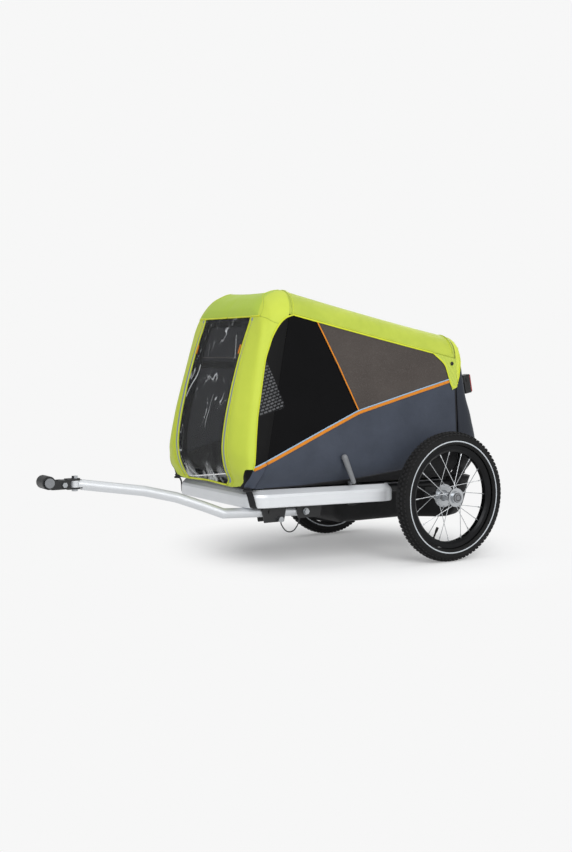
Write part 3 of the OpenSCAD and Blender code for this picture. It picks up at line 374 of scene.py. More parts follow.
def mix_colour(tree, fac, a, b):
    """Two colours mixed by fac. a and b are hex colours or sockets."""
    return add(tree, "ShaderNodeMix", {0: fac, 6: a, 7: b}, data_type="RGBA").outputs[2]


def mottle(tree, place, scale, detail=2.0, roughness=0.5, distortion=0.0):
    """Soft noise, with about scale patches per metre."""
    return add(tree, "ShaderNodeTexNoise", {"Vector": place, "Scale": scale, "Detail": detail,
                                            "Roughness": roughness, "Distortion": distortion}).outputs[0]


def ramp(tree, value, low, high, to_low=0.0, to_high=1.0, eased=False):
    """Takes the range from low to high onto another one, and holds it flat past the ends."""
    return add(tree, "ShaderNodeMapRange",
               {"Value": value, "From Min": low, "From Max": high, "To Min": to_low, "To Max": to_high},
               interpolation_type="SMOOTHSTEP" if eased else "LINEAR").outputs[0]


def ripple(tree, value, pitch):
    """A wave from -1 to 1 that repeats every pitch mm."""
    return maths(tree, "SINE", maths(tree, "MULTIPLY", value, 2 * math.pi / (pitch * MM)))


def relief(tree, height, strength, distance):
    """Bumps from a height, for a shader's normal."""
    return add(tree, "ShaderNodeBump",
               {"Height": height, "Strength": strength, "Distance": distance}).outputs[0]


def start_material(name):
    mat = bpy.data.materials.get(name)
    if mat:
        bpy.data.materials.remove(mat)
    mat = bpy.data.materials.new(name)
    mat.use_nodes = True
    mat.node_tree.nodes.clear()
    return mat, mat.node_tree


def end_material(mat, shader):
    add(mat.node_tree, "ShaderNodeOutputMaterial", {"Surface": shader.outputs[0]})
    return mat


def surface(mat, inputs):
    """Ends a material in the standard surface shader."""
    return end_material(mat, add(mat.node_tree, "ShaderNodeBsdfPrincipled", inputs))


# ---------------------------------------------------------------- materials
def reflective_dashes(tree, place):
    """Short grey dashes in staggered rows that slant across the side wall."""
    side_on = add(tree, "ShaderNodeMapping",
                  {"Vector": place, "Rotation": (math.radians(-90), 0, math.radians(-18))})
    return add(tree, "ShaderNodeTexBrick", {
        "Vector": side_on.outputs[0], "Scale": 1.0, "Brick Width": 0.0135, "Row Height": 0.0085,
        "Mortar Size": 0.0024, "Mortar Smooth": 0.4,
        "Color1": "#5d5e60", "Color2": "#4e4f51", "Mortar": "#131315"}).outputs[0]


def woven(name, base, shade, thread, rough, creased=0.5, heather=0.0, light="#ffffff", sheen=0.1, shine=0.3,
          zones=(), dashes=None):
    """Coated woven polyester: a tight grid of threads with a dull sheen and soft creases.
    thread is the spacing in mm, several times the real 0.3 mm so that it shows.
    heather mixes lighter threads in. zones is a list of (attribute, colour) painted where the
    attribute is above zero, and dashes names one whose zone carries short grey reflective dashes."""
    mat, tree = start_material(name)
    place = object_space(tree)
    sheet = axes(tree, sheet_space(tree))
    weave = maths(tree, "MULTIPLY", ripple(tree, sheet[0], thread), ripple(tree, sheet[1], thread))
    colour = mix_colour(tree, mottle(tree, place, 9.0, 3.0, 0.6), base, shade)
    if heather:
        spots = ramp(tree, mottle(tree, place, 520.0, 2.0, 0.7), 0.5, 0.68, 0.0, heather)
        colour = mix_colour(tree, spots, colour, light)
    painted = list(zones)
    if dashes:
        painted.append((dashes, reflective_dashes(tree, place)))
    for zone, paint in painted:
        colour = mix_colour(tree, maths(tree, "GREATER_THAN", marked(tree, zone), 0.0), colour, paint)
    creases = mottle(tree, place, 14.0, 4.0, 0.55, 0.8)
    height = maths(tree, "ADD", maths(tree, "MULTIPLY", weave, 0.00005),
                   maths(tree, "MULTIPLY", creases, 0.004 * creased))
    return surface(mat, {"Base Color": colour, "Roughness": rough, "Sheen Weight": sheen,
                         "Sheen Roughness": 0.4, "Specular IOR Level": shine,
                         "Normal": relief(tree, height, 0.6, 1.0)})


def metal(name, base, shade, grain, rough=0.3, metallic=1.0, uneven=0.12):
    """A metal whose roughness and tone follow fine grain lines. grain is how many lines per metre
    there are along each axis."""
    mat, tree = start_material(name)
    place = object_space(tree)
    lines = mottle(tree, stretched(tree, place, grain), 1.0, 4.0)
    marks = mottle(tree, place, 22.0, 3.0)
    tone = maths(tree, "MULTIPLY", maths(tree, "ADD", lines, marks), 0.5)
    return surface(mat, {"Metallic": metallic, "Base Color": mix_colour(tree, tone, base, shade),
                         "Roughness": ramp(tree, tone, 0.0, 1.0, max(rough - uneven, 0.04), rough + uneven),
                         "Normal": relief(tree, lines, 0.5, 0.0001)})


def moulded(name, base, shade, rough=0.45, grain=900.0, depth=0.00006, specular=0.5):
    """Moulded plastic or rubber with the fine texture of its mould and slight dust in the tone."""
    mat, tree = start_material(name)
    place = object_space(tree)
    broad = mottle(tree, place, 30.0, 3.0)
    return surface(mat, {"Specular IOR Level": specular, "Base Color": mix_colour(tree, broad, base, shade),
                         "Roughness": ramp(tree, broad, 0.0, 1.0, rough - 0.08, rough + 0.1),
                         "Normal": relief(tree, mottle(tree, place, grain), 0.6, depth)})


def banded(name, base, stripe, width=3.0, rough=0.85):
    """Woven tape: ribs across it, from the repeat of its weft, in two close tones."""
    mat, tree = start_material(name)
    rib = ripple(tree, axes(tree, sheet_space(tree))[0], width)
    fuzz = mottle(tree, object_space(tree), 700.0)
    tone = maths(tree, "ADD", maths(tree, "MULTIPLY", rib, 0.3), fuzz, clamped=True)
    return surface(mat, {"Roughness": rough, "Sheen Weight": 0.15, "Specular IOR Level": 0.3,
                         "Base Color": mix_colour(tree, tone, base, stripe),
                         "Normal": relief(tree, rib, 0.7, 0.0003)})


def clear_film(name, base, glare):
    """Clear flexible vinyl: nearly invisible face on, with painted highlights: bright thin lines where it is
    creased and a milky shine where it curls at its foot."""
    mat, tree = start_material(name)
    place = object_space(tree)
    waves = mottle(tree, stretched(tree, place, (1.0, 1.0, 0.32)), 19.0, 1.5, distortion=1.2)
    patches = mottle(tree, place, 11.0, 1.0)
    ridge = maths(tree, "ABSOLUTE", maths(tree, "SUBTRACT", waves, 0.5))
    # Fine painted glints along the ridges of the waves, in patches.
    fine = maths(tree, "MULTIPLY", ramp(tree, ridge, 0.0, 0.012, 1.0, 0.0), ramp(tree, patches, 0.56, 0.66))
    # Painted highlights along long creases, marked on the sheet by their distance and broken up along their
    # run.
    streak = ramp(tree, marked(tree, "crease"), -1.0, 0.6, 0.0, 0.9, eased=True)
    long = maths(tree, "MULTIPLY", streak, ramp(tree, patches, 0.3, 0.52, 0.35, 1.0))
    glint = maths(tree, "MAXIMUM", fine, long)
    # A painted milky sheen low on the film, where it curls at its foot.
    foot = ramp(tree, axes(tree, place)[2], 0.262, 0.325, 1.0, 0.0, eased=True)
    painted_foot_sheen = maths(tree, "MULTIPLY", foot, ramp(tree, waves, 0.42, 0.62))
    shine = maths(tree, "ADD", maths(tree, "MULTIPLY", glint, 0.75), maths(tree, "MULTIPLY", painted_foot_sheen, 0.45))
    # Alpha rises with the painted glints and sheen; the colour runs towards the glare tone with the waves.
    return surface(mat, {"Roughness": 0.12, "Specular IOR Level": 0.12, "IOR": 1.5,
                         "Base Color": mix_colour(tree, waves, base, glare),
                         "Alpha": maths(tree, "ADD", shine, 0.014, clamped=True),
                         "Normal": relief(tree, waves, 0.8, 0.004)})


def netting(name, base, light, cell=3.0, open_alpha=0.9):
    """Knitted polyester net: small open cells between dark threads. The cells are drawn at
    cell mm, coarser than real ones, so that they show."""
    mat, tree = start_material(name)
    sheet = axes(tree, sheet_space(tree))
    holes = maths(tree, "MULTIPLY", maths(tree, "ABSOLUTE", ripple(tree, sheet[0], cell)),
                  maths(tree, "ABSOLUTE", ripple(tree, sheet[1], cell)))
    lit = maths(tree, "MULTIPLY", holes, mottle(tree, object_space(tree), 260.0, 3.0))
    return surface(mat, {"Roughness": 0.8, "Specular IOR Level": 0.25,
                         "Base Color": mix_colour(tree, lit, base, light),
                         "Alpha": ramp(tree, holes, 0.2, 1.0, 1.0, open_alpha),
                         "Normal": relief(tree, holes, 0.6, 0.0003)})


def prism_lens(name, base, deep, pitch=3.0):
    """Red acrylic reflector: glossy, with a moulded grid of small prisms behind its face."""
    mat, tree = start_material(name)
    _, y, z = axes(tree, object_space(tree))
    cells = maths(tree, "MULTIPLY", ripple(tree, y, pitch), ripple(tree, z, pitch))
    tone = maths(tree, "ADD", maths(tree, "MULTIPLY", cells, 0.5), 0.5)
    return surface(mat, {"Roughness": 0.12, "IOR": 1.49, "Coat Weight": 0.6,
                         "Base Color": mix_colour(tree, tone, base, deep),
                         "Normal": relief(tree, cells, 0.5, 0.0004)})


def striped(name, base, shade, pitch=6.0, slant=0.35):
    """Open warp-knit mesh: ribs of thread with darker gaps between them. The ribs are drawn farther
    apart than real ones, so that they show."""
    mat, tree = start_material(name)
    place = object_space(tree)
    x, _, z = axes(tree, place)
    wave = ripple(tree, maths(tree, "SUBTRACT", x, maths(tree, "MULTIPLY", z, slant)), pitch)
    ribs = maths(tree, "MULTIPLY", maths(tree, "ADD", wave, 1.0), 0.5)
    tone = maths(tree, "MULTIPLY", ribs, mottle(tree, place, 900.0))
    return surface(mat, {"Roughness": 0.65, "Sheen Weight": 0.1,
                         "Base Color": mix_colour(tree, tone, base, shade),
                         "Normal": relief(tree, wave, 0.8, 0.0008)})


def make_finishes(colours):
    lime, slate, brown = hex_of(colours.canopy), hex_of(colours.lower), hex_of(colours.panel)
    orange, rail = hex_of(colours.piping), hex_of(colours.rail)
    # The visor zone is painted shade: a deeper lime on the panel over the window.
    hood_zones = [("visor_shade", "#b2cb4c"), ("stripe", "#8794a6"), ("dark", "#020203"), ("slate", slate)]
    FINISH.update({
        # Coated polyester, woven fine and flat: bright, even, slightly glossy on its folds. The roof's copy
        # mixes in a darker second tone than the hood's, as painted shade on the roof.
        "canopy": woven("LimeCoatedPolyester", lime, "#9aad3c", thread=2.0, rough=0.55, creased=0.35),
        "hood": woven("LimeCoatedPolyesterHood", lime, "#bccd4a", thread=2.0, rough=0.55, creased=0.8,
                      zones=hood_zones, dashes="patch", shine=0.15),
        "binding": banded("YellowBindingTape", "#dfe63c", "#cbd42c"),
        "thread": moulded("YellowPolyesterThread", "#e9ef55", "#cfd935", rough=0.7),
        "piping": banded("OrangePiping", orange, "#c86f12", rough=0.6),
        "piping_pale": banded("PaleReflectivePiping", "#a9c3d8", "#8ba5bb", rough=0.45),
        # Side window cloth: matt black, with hardly any shine.
        "window": woven("BlackWindowCloth", "#040405", "#0a0a0c", thread=2.4, rough=0.75, creased=0.4,
                        dashes="patch", sheen=0.0, shine=0.12),
        "panel": woven("HeatheredPolyester", brown, "#3a3431", thread=1.8, heather=0.35, light="#736c68",
                       rough=0.85, creased=0.3),
        "slate": woven("SlateCoatedPolyester", slate, "#2c323d", thread=1.6, heather=0.12,
                       light="#5d6675", rough=0.62),
        "black_cloth": woven("BlackCoatedPolyester", "#151517", "#0d0d0f", thread=2.2, rough=0.7,
                             creased=0.8),
        "rear": woven("RearWallPolyester", "#2b303a", "#20242c", thread=1.6, rough=0.65,
                      zones=[("low", "#131315"), ("top", lime)]),
        "tail": striped("LimeMeshTail", lime, "#8fb32c"),
        "film": clear_film("ClearVinylFilm", "#d4d9dd", "#eef0f1"),
        "border": woven("BlackCurtainBorder", "#060607", "#0b0b0c", thread=2.4, rough=0.65, creased=0.6,
                        sheen=0.0, shine=0.14),
        "net": netting("BlackInsectNet", "#161619", "#424348"),
        "webbing": banded("BlackWebbing", "#141416", "#2a2a2d", width=2.2),
        # Bonded and glazed cord: black with a dull shine.
        "cord": moulded("BlackLanyardCord", "#121214", "#232326", rough=0.6, grain=1500.0),
        # Brushed and anodised aluminium: satin, with fine lines along the extrusion.
        "rail": metal("SatinAnodisedAluminium", rail, "#d6d9dc", rough=0.46, grain=(3, 3, 240),
                      uneven=0.05, metallic=0.55),
        "drawbar": metal("BrushedAluminiumTube", "#dddfe2", "#cfd2d5", rough=0.48, grain=(4, 300, 300),
                         uneven=0.05, metallic=0.7),
        "steel": metal("ZincPlatedSteel", "#c2c5c8", "#8f9396", rough=0.28, grain=(90, 90, 90)),
        "spoke": metal("StainlessSpokeWire", "#e2e4e6", "#b9bcbf", rough=0.2, grain=(60, 60, 60)),
        "hub": metal("PolishedAluminiumHub", "#cccfd2", "#a5a8ab", grain=(60, 900, 60)),
        "rim": metal("BlackAnodisedRim", "#191a1c", "#0e0e10", rough=0.35, grain=(60, 900, 60),
                     metallic=0.7),
        "cast": moulded("BlackCastAlloy", "#1b1c1e", "#0f1011", rough=0.42, grain=1400.0, depth=0.0001),
        "black_plastic": moulded("BlackNylon", "#161618", "#0e0e0f"),
        "grey_plastic": moulded("GreyNylon", "#85878a", "#6f7174"),
        "frame": moulded("BlackPowderCoat", "#1c1d1f", "#121314", rough=0.5, grain=1800.0),
        # Vulcanised rubber: deep black, dull, with a little dust in its texture.
        "rubber": moulded("TyreRubber", "#191919", "#0f0f10", rough=0.82, grain=600.0, depth=0.0002,
                          specular=0.3),
        "tread": moulded("TreadRubber", "#2b2b2c", "#1e1e1f", rough=0.8, grain=600.0, depth=0.0002,
                         specular=0.35),
        "reflex": moulded("TyreReflexLine", "#cfd4d8", "#b4bac0", rough=0.35),
        "board": moulded("GreyPlasticSheet", "#77797c", "#5f6164", rough=0.5),
        "lens": prism_lens("RedReflectorAcrylic", "#c01822", "#7c0a12"),
        "orange": moulded("OrangeWebPull", orange, "#c2690f", rough=0.6),
    })


# ---------------------------------------------------------------- the cabin's form, in mm from the axle
WALL_Z = 248.0
ROOF_Z = (821.0, 692.0)
HOOP_X = (-628.0, 88.0)
LEAN = (0.231, 0.01)
PIN_Z = 258.0
FOOT_HW = 220.0
SHOULDER_HW = (216.0, 234.0)
SHOULDER_R = (78.0, 62.0)
BULGE = 46.0
TUCK = 0.08
BAND = 73.0
CROWN_SAG, CROWN_HW = 5.2, 150.0
WINDOW_HW, WINDOW_LOW, WINDOW_TOP, WINDOW_R = 136.0, 260.0, 740.0, 22.0
WINDOW_X, WINDOW_LEAN = -661.0, 0.1468
PIPE = [(-650.0, 312.0), (-289.0, 463.0), (66.0, 552.0), (92.0, 558.0)]
LOWER_EDGE = [(-626, 250), (-470, 251), (-400, 255), (-289, 260), (-140, 277), (-60, 290), (10, 316),
              (50, 336), (88, 352)]
LIME_EDGE = [(-661, 262), (-650, 318), (-629, 463), (-594, 620), (-569, 684), (-556, 706), (-545, 722),
             (-530, 736), (-513, 744), (-500, 745.6)]
# The free edges of the triangle of reflective dashes on the side window.
DASH_CORNERS = [(-594, 616), (-543, 482), (-634, 456)]
# Share of the window's bow, against the height as a part of the window's own, and the bow in mm.
BOW_SHAPE = [(0, 0), (0.06, 0.36), (0.1, 0.6), (0.15, 0.79), (0.2, 0.92), (0.25, 0.98), (0.31, 1),
             (0.42, 0.96), (0.58, 0.8), (0.71, 0.61), (0.81, 0.43), (0.88, 0.28), (0.95, 0.1), (1, 0)]
BOW = 46
CABIN = at_axle(-290, 0, 480)


def arc_fall(r, rise):
    """How far a round shoulder of radius r has drawn in, rise above the arc's start."""
    return r - math.sqrt(max(r * r - rise * rise, 0.0))


def wall_half(z, top, foot, shoulder, r):
    """Half width at height z of a cross section that bulges above its foot and is round at the shoulder."""
    t = (z - WALL_Z) / (top - WALL_Z)
    flat = lerp(foot, shoulder, t) + BULGE * (1 - math.exp(-(t / TUCK) ** 2)) * (1 - t)
    rise = z - top + r
    return flat if rise <= 0 else flat - arc_fall(r, rise)


def roof_z(s):
    return lerp(*ROOF_Z, s)


def shoulder_r(s):
    return lerp(*SHOULDER_R, s)


def hoop_x(k, z):
    """Where the front (0) or rear (1) hoop stands at height z."""
    return HOOP_X[k] + LEAN[k] * (z - PIN_Z)


def skin_x(s, z):
    """The place along the trailer at share s of the way from the front hoop to the rear one."""
    return lerp(*HOOP_X, s) + lerp(*LEAN, s) * (z - PIN_Z)


def skin_half(s, z):
    return wall_half(z, roof_z(s), FOOT_HW, lerp(*SHOULDER_HW, s), shoulder_r(s))


def station(x, z):
    """The share s of the way between the hoops at which the skin reaches x."""
    return (x - hoop_x(0, z)) / (hoop_x(1, z) - hoop_x(0, z))


def folds(x, z, size):
    """Soft creases of stretched cloth, in mm, longer along the trailer than they are high."""
    a = noise.noise(Vector((x * 0.005, z * 0.011, 3.1)))
    b = noise.noise(Vector((x * 0.017 + z * 0.006, z * 0.03, 7.7)))
    return size * (2.0 * a + 0.9 * b)


def wall_flat(x, z, calm=1.0):
    """A point of the left wall, in mm, with its folds, which die out at the hoops."""
    s = station(x, z)
    free = min(max(s, 0.0), max(1 - s, 0.0)) * 8
    return Vector((x, -skin_half(s, z) - folds(x, z, calm) * min(free, 1.0), z))


def wall_point(x, z, lift=0.0):
    """A point of the left wall in the frame, lifted off it by so many mm."""
    p = wall_flat(x, z)
    if lift:
        dx = wall_flat(x + 2, z) - wall_flat(x - 2, z)
        dz = wall_flat(x, z + 2) - wall_flat(x, z - 2)
        n = dx.cross(dz).normalized()
        p = p + n * (-lift if n.y > 0 else lift)
    return at_axle(*p)


def pipe_z(x):
    return lookup(x, PIPE)


def band_z(x):
    """Height of the roof band's lower edge at this place along the wall."""
    z = 700.0
    for _ in range(6):
        z = roof_z(station(x, z)) - BAND
    return z


def bow_at(z):
    h = (z - WINDOW_LOW) / (WINDOW_TOP - WINDOW_LOW)
    return BOW * blended(h, BOW_SHAPE, 0.025, 0.3, 0.4)


def window_half(z):
    """Half width of the window: its lower corners are rounded."""
    return WINDOW_HW - arc_fall(WINDOW_R, clamp(WINDOW_R - (z - WINDOW_LOW), 0, WINDOW_R))


def dash_zone(x, z):
    """Above zero inside the triangle of reflective dashes, in mm from its nearest edge."""
    return min(((x - xa) * (zb - za) - (z - za) * (xb - xa)) / math.hypot(xb - xa, zb - za)
               for (xa, za), (xb, zb) in zip(DASH_CORNERS, DASH_CORNERS[1:]))


def crown_sag(y):
    """How far the cloth hangs between the front hoop's bends."""
    return CROWN_SAG * max(0.0, 1 - (y / CROWN_HW) ** 2)


def roof_sag(y, s):
    """The same sag behind the hoop, where it dies out."""
    return crown_sag(y) * smooth(0.35, 0, s)


def soft(obj):
    """Rides on the floor frame, with a mesh of its own."""
    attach(obj, "frame")
    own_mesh(obj)


def wall_patch(name, low, high, across, up, finish, calm=1.0, thick=1.6, lift=0.0):
    """A cloth panel of the left wall between a lower and an upper line of (x, z) points."""
    low, high = [Vector(p) for p in low], [Vector(p) for p in high]

    def along(line, t):
        f = t * (len(line) - 1)
        i = min(int(f), len(line) - 2)
        return line[i].lerp(line[i + 1], f - i)

    rows = []
    for i in range(across + 1):
        a, b = along(low, i / across), along(high, i / across)
        line = [a.lerp(b, j / up) for j in range(up + 1)]
        rows.append([wall_point(*p, lift) if lift else at_axle(*wall_flat(*p, calm)) for p in line])
    return thicken(face_out(grid(name, rows, finish), CABIN), thick * MM)


def trim(name, points, width, finish, lift=1.2, flat=0.45, shift=0.0):
    """Piping or binding tape laid on the left wall along (x, z) points."""
    pts = resample(points, 9.0)
    line, ups = [], []
    for i, p in enumerate(pts):
        d = (pts[min(i + 1, len(pts) - 1)] - pts[max(i - 1, 0)]).normalized()
        q = p + shift * Vector((-d.y, d.x))
        line.append(wall_point(q.x, q.y, lift))
        away = wall_point(q.x, q.y, lift + 5) - line[-1]
        ups.append(away.cross(Vector((d.x, 0, d.y))).normalized())
    return tube(name, line, width / 2 * MM, finish, flat=flat, up=ups)


# ---------------------------------------------------------------- repeats along lines, by geometry nodes
def group(name, sockets):
    old = bpy.data.node_groups.get(name)
    if old:
        bpy.data.node_groups.remove(old)
    tree = bpy.data.node_groups.new(name, "GeometryNodeTree")
    tree.interface.new_socket("Geometry", in_out="OUTPUT", socket_type="NodeSocketGeometry")
    for label, kind in (("Geometry", "Geometry"), *sockets):
        tree.interface.new_socket(label, in_out="INPUT", socket_type="NodeSocket" + kind)
    return tree, tree.nodes.new("NodeGroupInput").outputs, tree.nodes.new("NodeGroupOutput").inputs


def run_group(obj, tree, values):
    """Runs a tree on an object with its inputs set by name, and keeps the plain mesh."""
    mod = obj.modifiers.new("Repeat", "NODES")
    mod.node_group = tree
    for item in tree.interface.items_tree:
        if item.in_out == "INPUT" and item.name in values:
            mod[item.identifier] = values[item.name]
    return bake_modifiers(obj)


def copies_on(tree, points, piece, turn):
    """Copies of a piece on points, each turned by its own rotation."""
    return add(tree, "GeometryNodeInstanceOnPoints", {
        "Points": points.outputs[0], "Instance": piece.outputs[0], "Rotation": turn.outputs[0]})


def plain_mesh(tree, copies, material):
    """The copies as real geometry in one material."""
    real = add(tree, "GeometryNodeRealizeInstances", {0: copies.outputs[0]})
    return add(tree, "GeometryNodeSetMaterial", {"Geometry": real.outputs[0], "Material": material})


def stitch_tree():
    """Stitches laid end to end along every edge of the geometry."""
    tree, s, end = group("Stitches", [
        ("Spacing", "Float"), ("Length", "Float"), ("Width", "Float"), ("Thread", "Material")])
    line = add(tree, "GeometryNodeMeshToCurve", {"Mesh": s["Geometry"]})
    even = add(tree, "GeometryNodeResampleCurve", {"Curve": line.outputs[0], "Length": s["Spacing"]},
               mode="LENGTH")
    size = add(tree, "ShaderNodeCombineXYZ", {"X": s["Width"], "Y": s["Width"], "Z": s["Length"]})
    thread = add(tree, "GeometryNodeMeshCube", {"Size": size.outputs[0]})
    tangent = add(tree, "GeometryNodeInputTangent")
    turn = add(tree, "FunctionNodeAlignRotationToVector", {"Vector": tangent.outputs[0]}, axis="Z")
    done = plain_mesh(tree, copies_on(tree, even, thread, turn), s["Thread"])
    tree.links.new(done.outputs[0], end[0])
    return tree


def stitches(name, points, spacing=5.0, length=3.4, width=0.9, finish="thread"):
    """A row of stitches along points in the frame."""
    obj = new_mesh(name, points, [], edges=[(i, i + 1) for i in range(len(points) - 1)])
    tree = bpy.data.node_groups.get("Stitches") or stitch_tree()
    return run_group(obj, tree, {"Spacing": spacing * MM, "Length": length * MM, "Width": width * MM,
                                 "Thread": FINISH[finish]})


def tread_tree():
    """One row of tread blocks round a tyre, added to the geometry."""
    tree, s, end = group("TreadRow", [
        ("Radius", "Float"), ("Offset", "Float"), ("Count", "Int"), ("Phase", "Float"),
        ("Block", "Vector"), ("Centre", "Vector"), ("Rubber", "Material")])

    def moved(source, inputs):
        return add(tree, "GeometryNodeTransform", {"Geometry": source.outputs[0], **inputs})

    ring = add(tree, "GeometryNodeMeshCircle", {"Vertices": s["Count"], "Radius": s["Radius"]})
    block = add(tree, "GeometryNodeMeshCube", {"Size": s["Block"]})
    place = add(tree, "GeometryNodeInputPosition")
    turn = add(tree, "FunctionNodeAlignRotationToVector", {"Vector": place.outputs[0]}, axis="X")
    spin = add(tree, "ShaderNodeCombineXYZ", {"Z": s["Phase"]})
    aside = add(tree, "ShaderNodeCombineXYZ", {"Y": s["Offset"]})
    row = moved(copies_on(tree, ring, block, turn), {"Rotation": spin.outputs[0]})
    row = moved(row, {"Rotation": (math.pi / 2, 0, 0)})
    row = moved(row, {"Translation": aside.outputs[0]})
    row = moved(row, {"Translation": s["Centre"]})
    joined = add(tree, "GeometryNodeJoinGeometry")
    tree.links.new(plain_mesh(tree, row, s["Rubber"]).outputs[0], joined.inputs[0])
    tree.links.new(s["Geometry"], joined.inputs[0])
    tree.links.new(joined.outputs[0], end[0])
    return tree


# ---------------------------------------------------------------- sizes and colours to change
def length_value(name, description, default):
    return FloatProperty(name=name, description=description, default=default, unit="LENGTH")


def colour_value(name, description, default):
    return FloatVectorProperty(name=name, description=description, subtype="COLOR",
                               default=linear(default)[:3])


class TrailerSizes(bpy.types.PropertyGroup):
    piping: length_value("Piping width", "Width of the orange side piping", 0.009)
    binding: length_value("Binding width", "Width of the yellow binding tape", 0.0045)
    cloth: length_value("Cloth thickness", "Thickness of the cabin's cloth", 0.0016)
    tread_count: IntProperty(name="Tread blocks", description="Tread blocks in one row round a tyre",
                             default=84, min=24, max=160)
    tread_height: length_value("Tread height", "Height of a tread block", 0.0016)
    crease: FloatProperty(name="Creases", description="How strongly the vinyl window is creased",
                          default=1.0, min=0.0, max=2.0)


class TrailerColours(bpy.types.PropertyGroup):
    canopy: colour_value("Canopy", "Roof and front hood", "#ccd852")
    panel: colour_value("Side panel", "Heathered upper side panel", "#504a46")
    lower: colour_value("Lower panel", "Lower side panel", "#454b58")
    piping: colour_value("Piping", "Piping along the sides", "#e8930f")
    rail: colour_value("Rail", "Bumper rail", "#e4e6e9")


class TrailerOperator:
    bl_options = {"REGISTER", "UNDO"}

    @property
    def sizes(self):
        return bpy.context.scene.trailer_sizes


# ---------------------------------------------------------------- stage
PALE = "#f7f7f7"
LENS, SENSOR = 47.324, 36.0
AZIMUTH, ELEVATION, DISTANCE = math.radians(-32.3), math.radians(3.5), 3.48
# Square area lamps: place and size in metres, and power in watts.
LAMPS = (("KeySoftbox", (-1.3, -3.9, 2.7), 2.6, 90), ("TopSoftbox", (0.2, 0.2, 4.2), 3.6, 38),
         ("RearSoftbox", (3.0, 1.6, 2.2), 2.0, 22), ("SideSoftbox", (1.2, -4.4, 1.4), 2.2, 26))


def looking_along(direction):
    return direction.to_track_quat("-Z", "Y").to_euler()


def mixed_shaders(tree, fac, a, b):
    node = add(tree, "ShaderNodeMixShader", {0: fac})
    tree.links.new(a.outputs[0], node.inputs[1])
    tree.links.new(b.outputs[0], node.inputs[2])
    return node


def floor_paint():
    """Takes the trailer's shadow near it, and runs into the pale background away from it."""
    mat, tree = start_material("StudioFloorPaint")
    place = object_space(tree)
    shade = mix_colour(tree, mottle(tree, place, 3.0), PALE, "#f5f5f5")
    paint = add(tree, "ShaderNodeBsdfDiffuse", {"Roughness": 0.6, "Color": shade})
    pale = add(tree, "ShaderNodeEmission", {"Color": PALE, "Strength": 1.0})
    oval = add(tree, "ShaderNodeMapping",
               {"Vector": place, "Scale": (1.0, 0.85, 1.0), "Location": (-AXLE_X + 0.1, 0, 0)})
    reach = add(tree, "ShaderNodeVectorMath", {0: oval.outputs[0]}, operation="LENGTH")
    far = ramp(tree, reach.outputs["Value"], 0.3, 0.66, 0.2, 1.0, eased=True)
    ray = add(tree, "ShaderNodeLightPath").outputs
    through_glass = maths(tree, "MAXIMUM", ray["Is Glossy Ray"], ray["Is Transmission Ray"])
    seen = maths(tree, "MAXIMUM", ray["Is Camera Ray"], through_glass)
    return end_material(mat, mixed_shaders(tree, maths(tree, "MULTIPLY", far, seen), paint, pale))


def studio_world():
    """Plain pale background to the camera, soft grey light to the object."""
    world = bpy.data.worlds.new("Studio")
    world.use_nodes = True
    tree = world.node_tree
    tree.nodes.clear()
    ray = add(tree, "ShaderNodeLightPath").outputs
    seen = maths(tree, "MAXIMUM", ray["Is Camera Ray"], ray["Is Transmission Ray"])
    light = add(tree, "ShaderNodeBackground", {"Color": (0.95, 0.96, 0.97, 1), "Strength": 0.55})
    pale = add(tree, "ShaderNodeBackground", {"Color": PALE, "Strength": 1.0})
    add(tree, "ShaderNodeOutputWorld", {"Surface": mixed_shaders(tree, seen, light, pale).outputs[0]})
    return world


class TRAILER_OT_stage(TrailerOperator, bpy.types.Operator):
    """Floor, lights and the camera"""
    bl_idname = "trailer.stage"
    bl_label = "Stage"

    def execute(self, context):
        scene = context.scene
        scene.view_settings.view_transform = "Standard"
        # Camera: low, from the front left.
        back = Vector((math.sin(AZIMUTH) * math.cos(ELEVATION), -math.cos(AZIMUTH) * math.cos(ELEVATION),
                       math.sin(ELEVATION)))
        data = bpy.data.cameras.new("Camera")
        data.lens = LENS
        data.sensor_width = SENSOR
        data.clip_start = 0.05
        scene.camera = add_object("Camera", data)
        scene.camera.location = at_axle(-385, 0, 411) + back * DISTANCE
        scene.camera.rotation_euler = looking_along(-back)
        corners = [(-9, -9, 0), (9, -9, 0), (9, 9, 0), (-9, 9, 0)]
        floor = new_mesh("Floor", corners, [(0, 1, 2, 3)], smooth_shade=False)
        floor.data.materials.append(floor_paint())
        scene.world = studio_world()
        for name, place, size, power in LAMPS:
            lamp = bpy.data.lights.new(name, "AREA")
            lamp.size = size
            lamp.energy = power
            obj = add_object(name, lamp)
            obj.location = place
            obj.rotation_euler = looking_along(Vector((0, 0, 0.35)) - Vector(place))
        return {"FINISHED"}


# ---------------------------------------------------------------- the trailer's pieces
LANYARD_D = 3.6 * MM
# From the lock pin's head down and up again to the bracket, in mm.
LANYARD_KNOTS = ((-538, -214, 148.7), (-536, -215, 141), (-527, -213, 129), (-515, -210, 120),
                 (-501, -207, 117), (-488, -205, 120), (-477, -204, 130), (-471, -204, 141),
                 (-468, -204, 153.9))


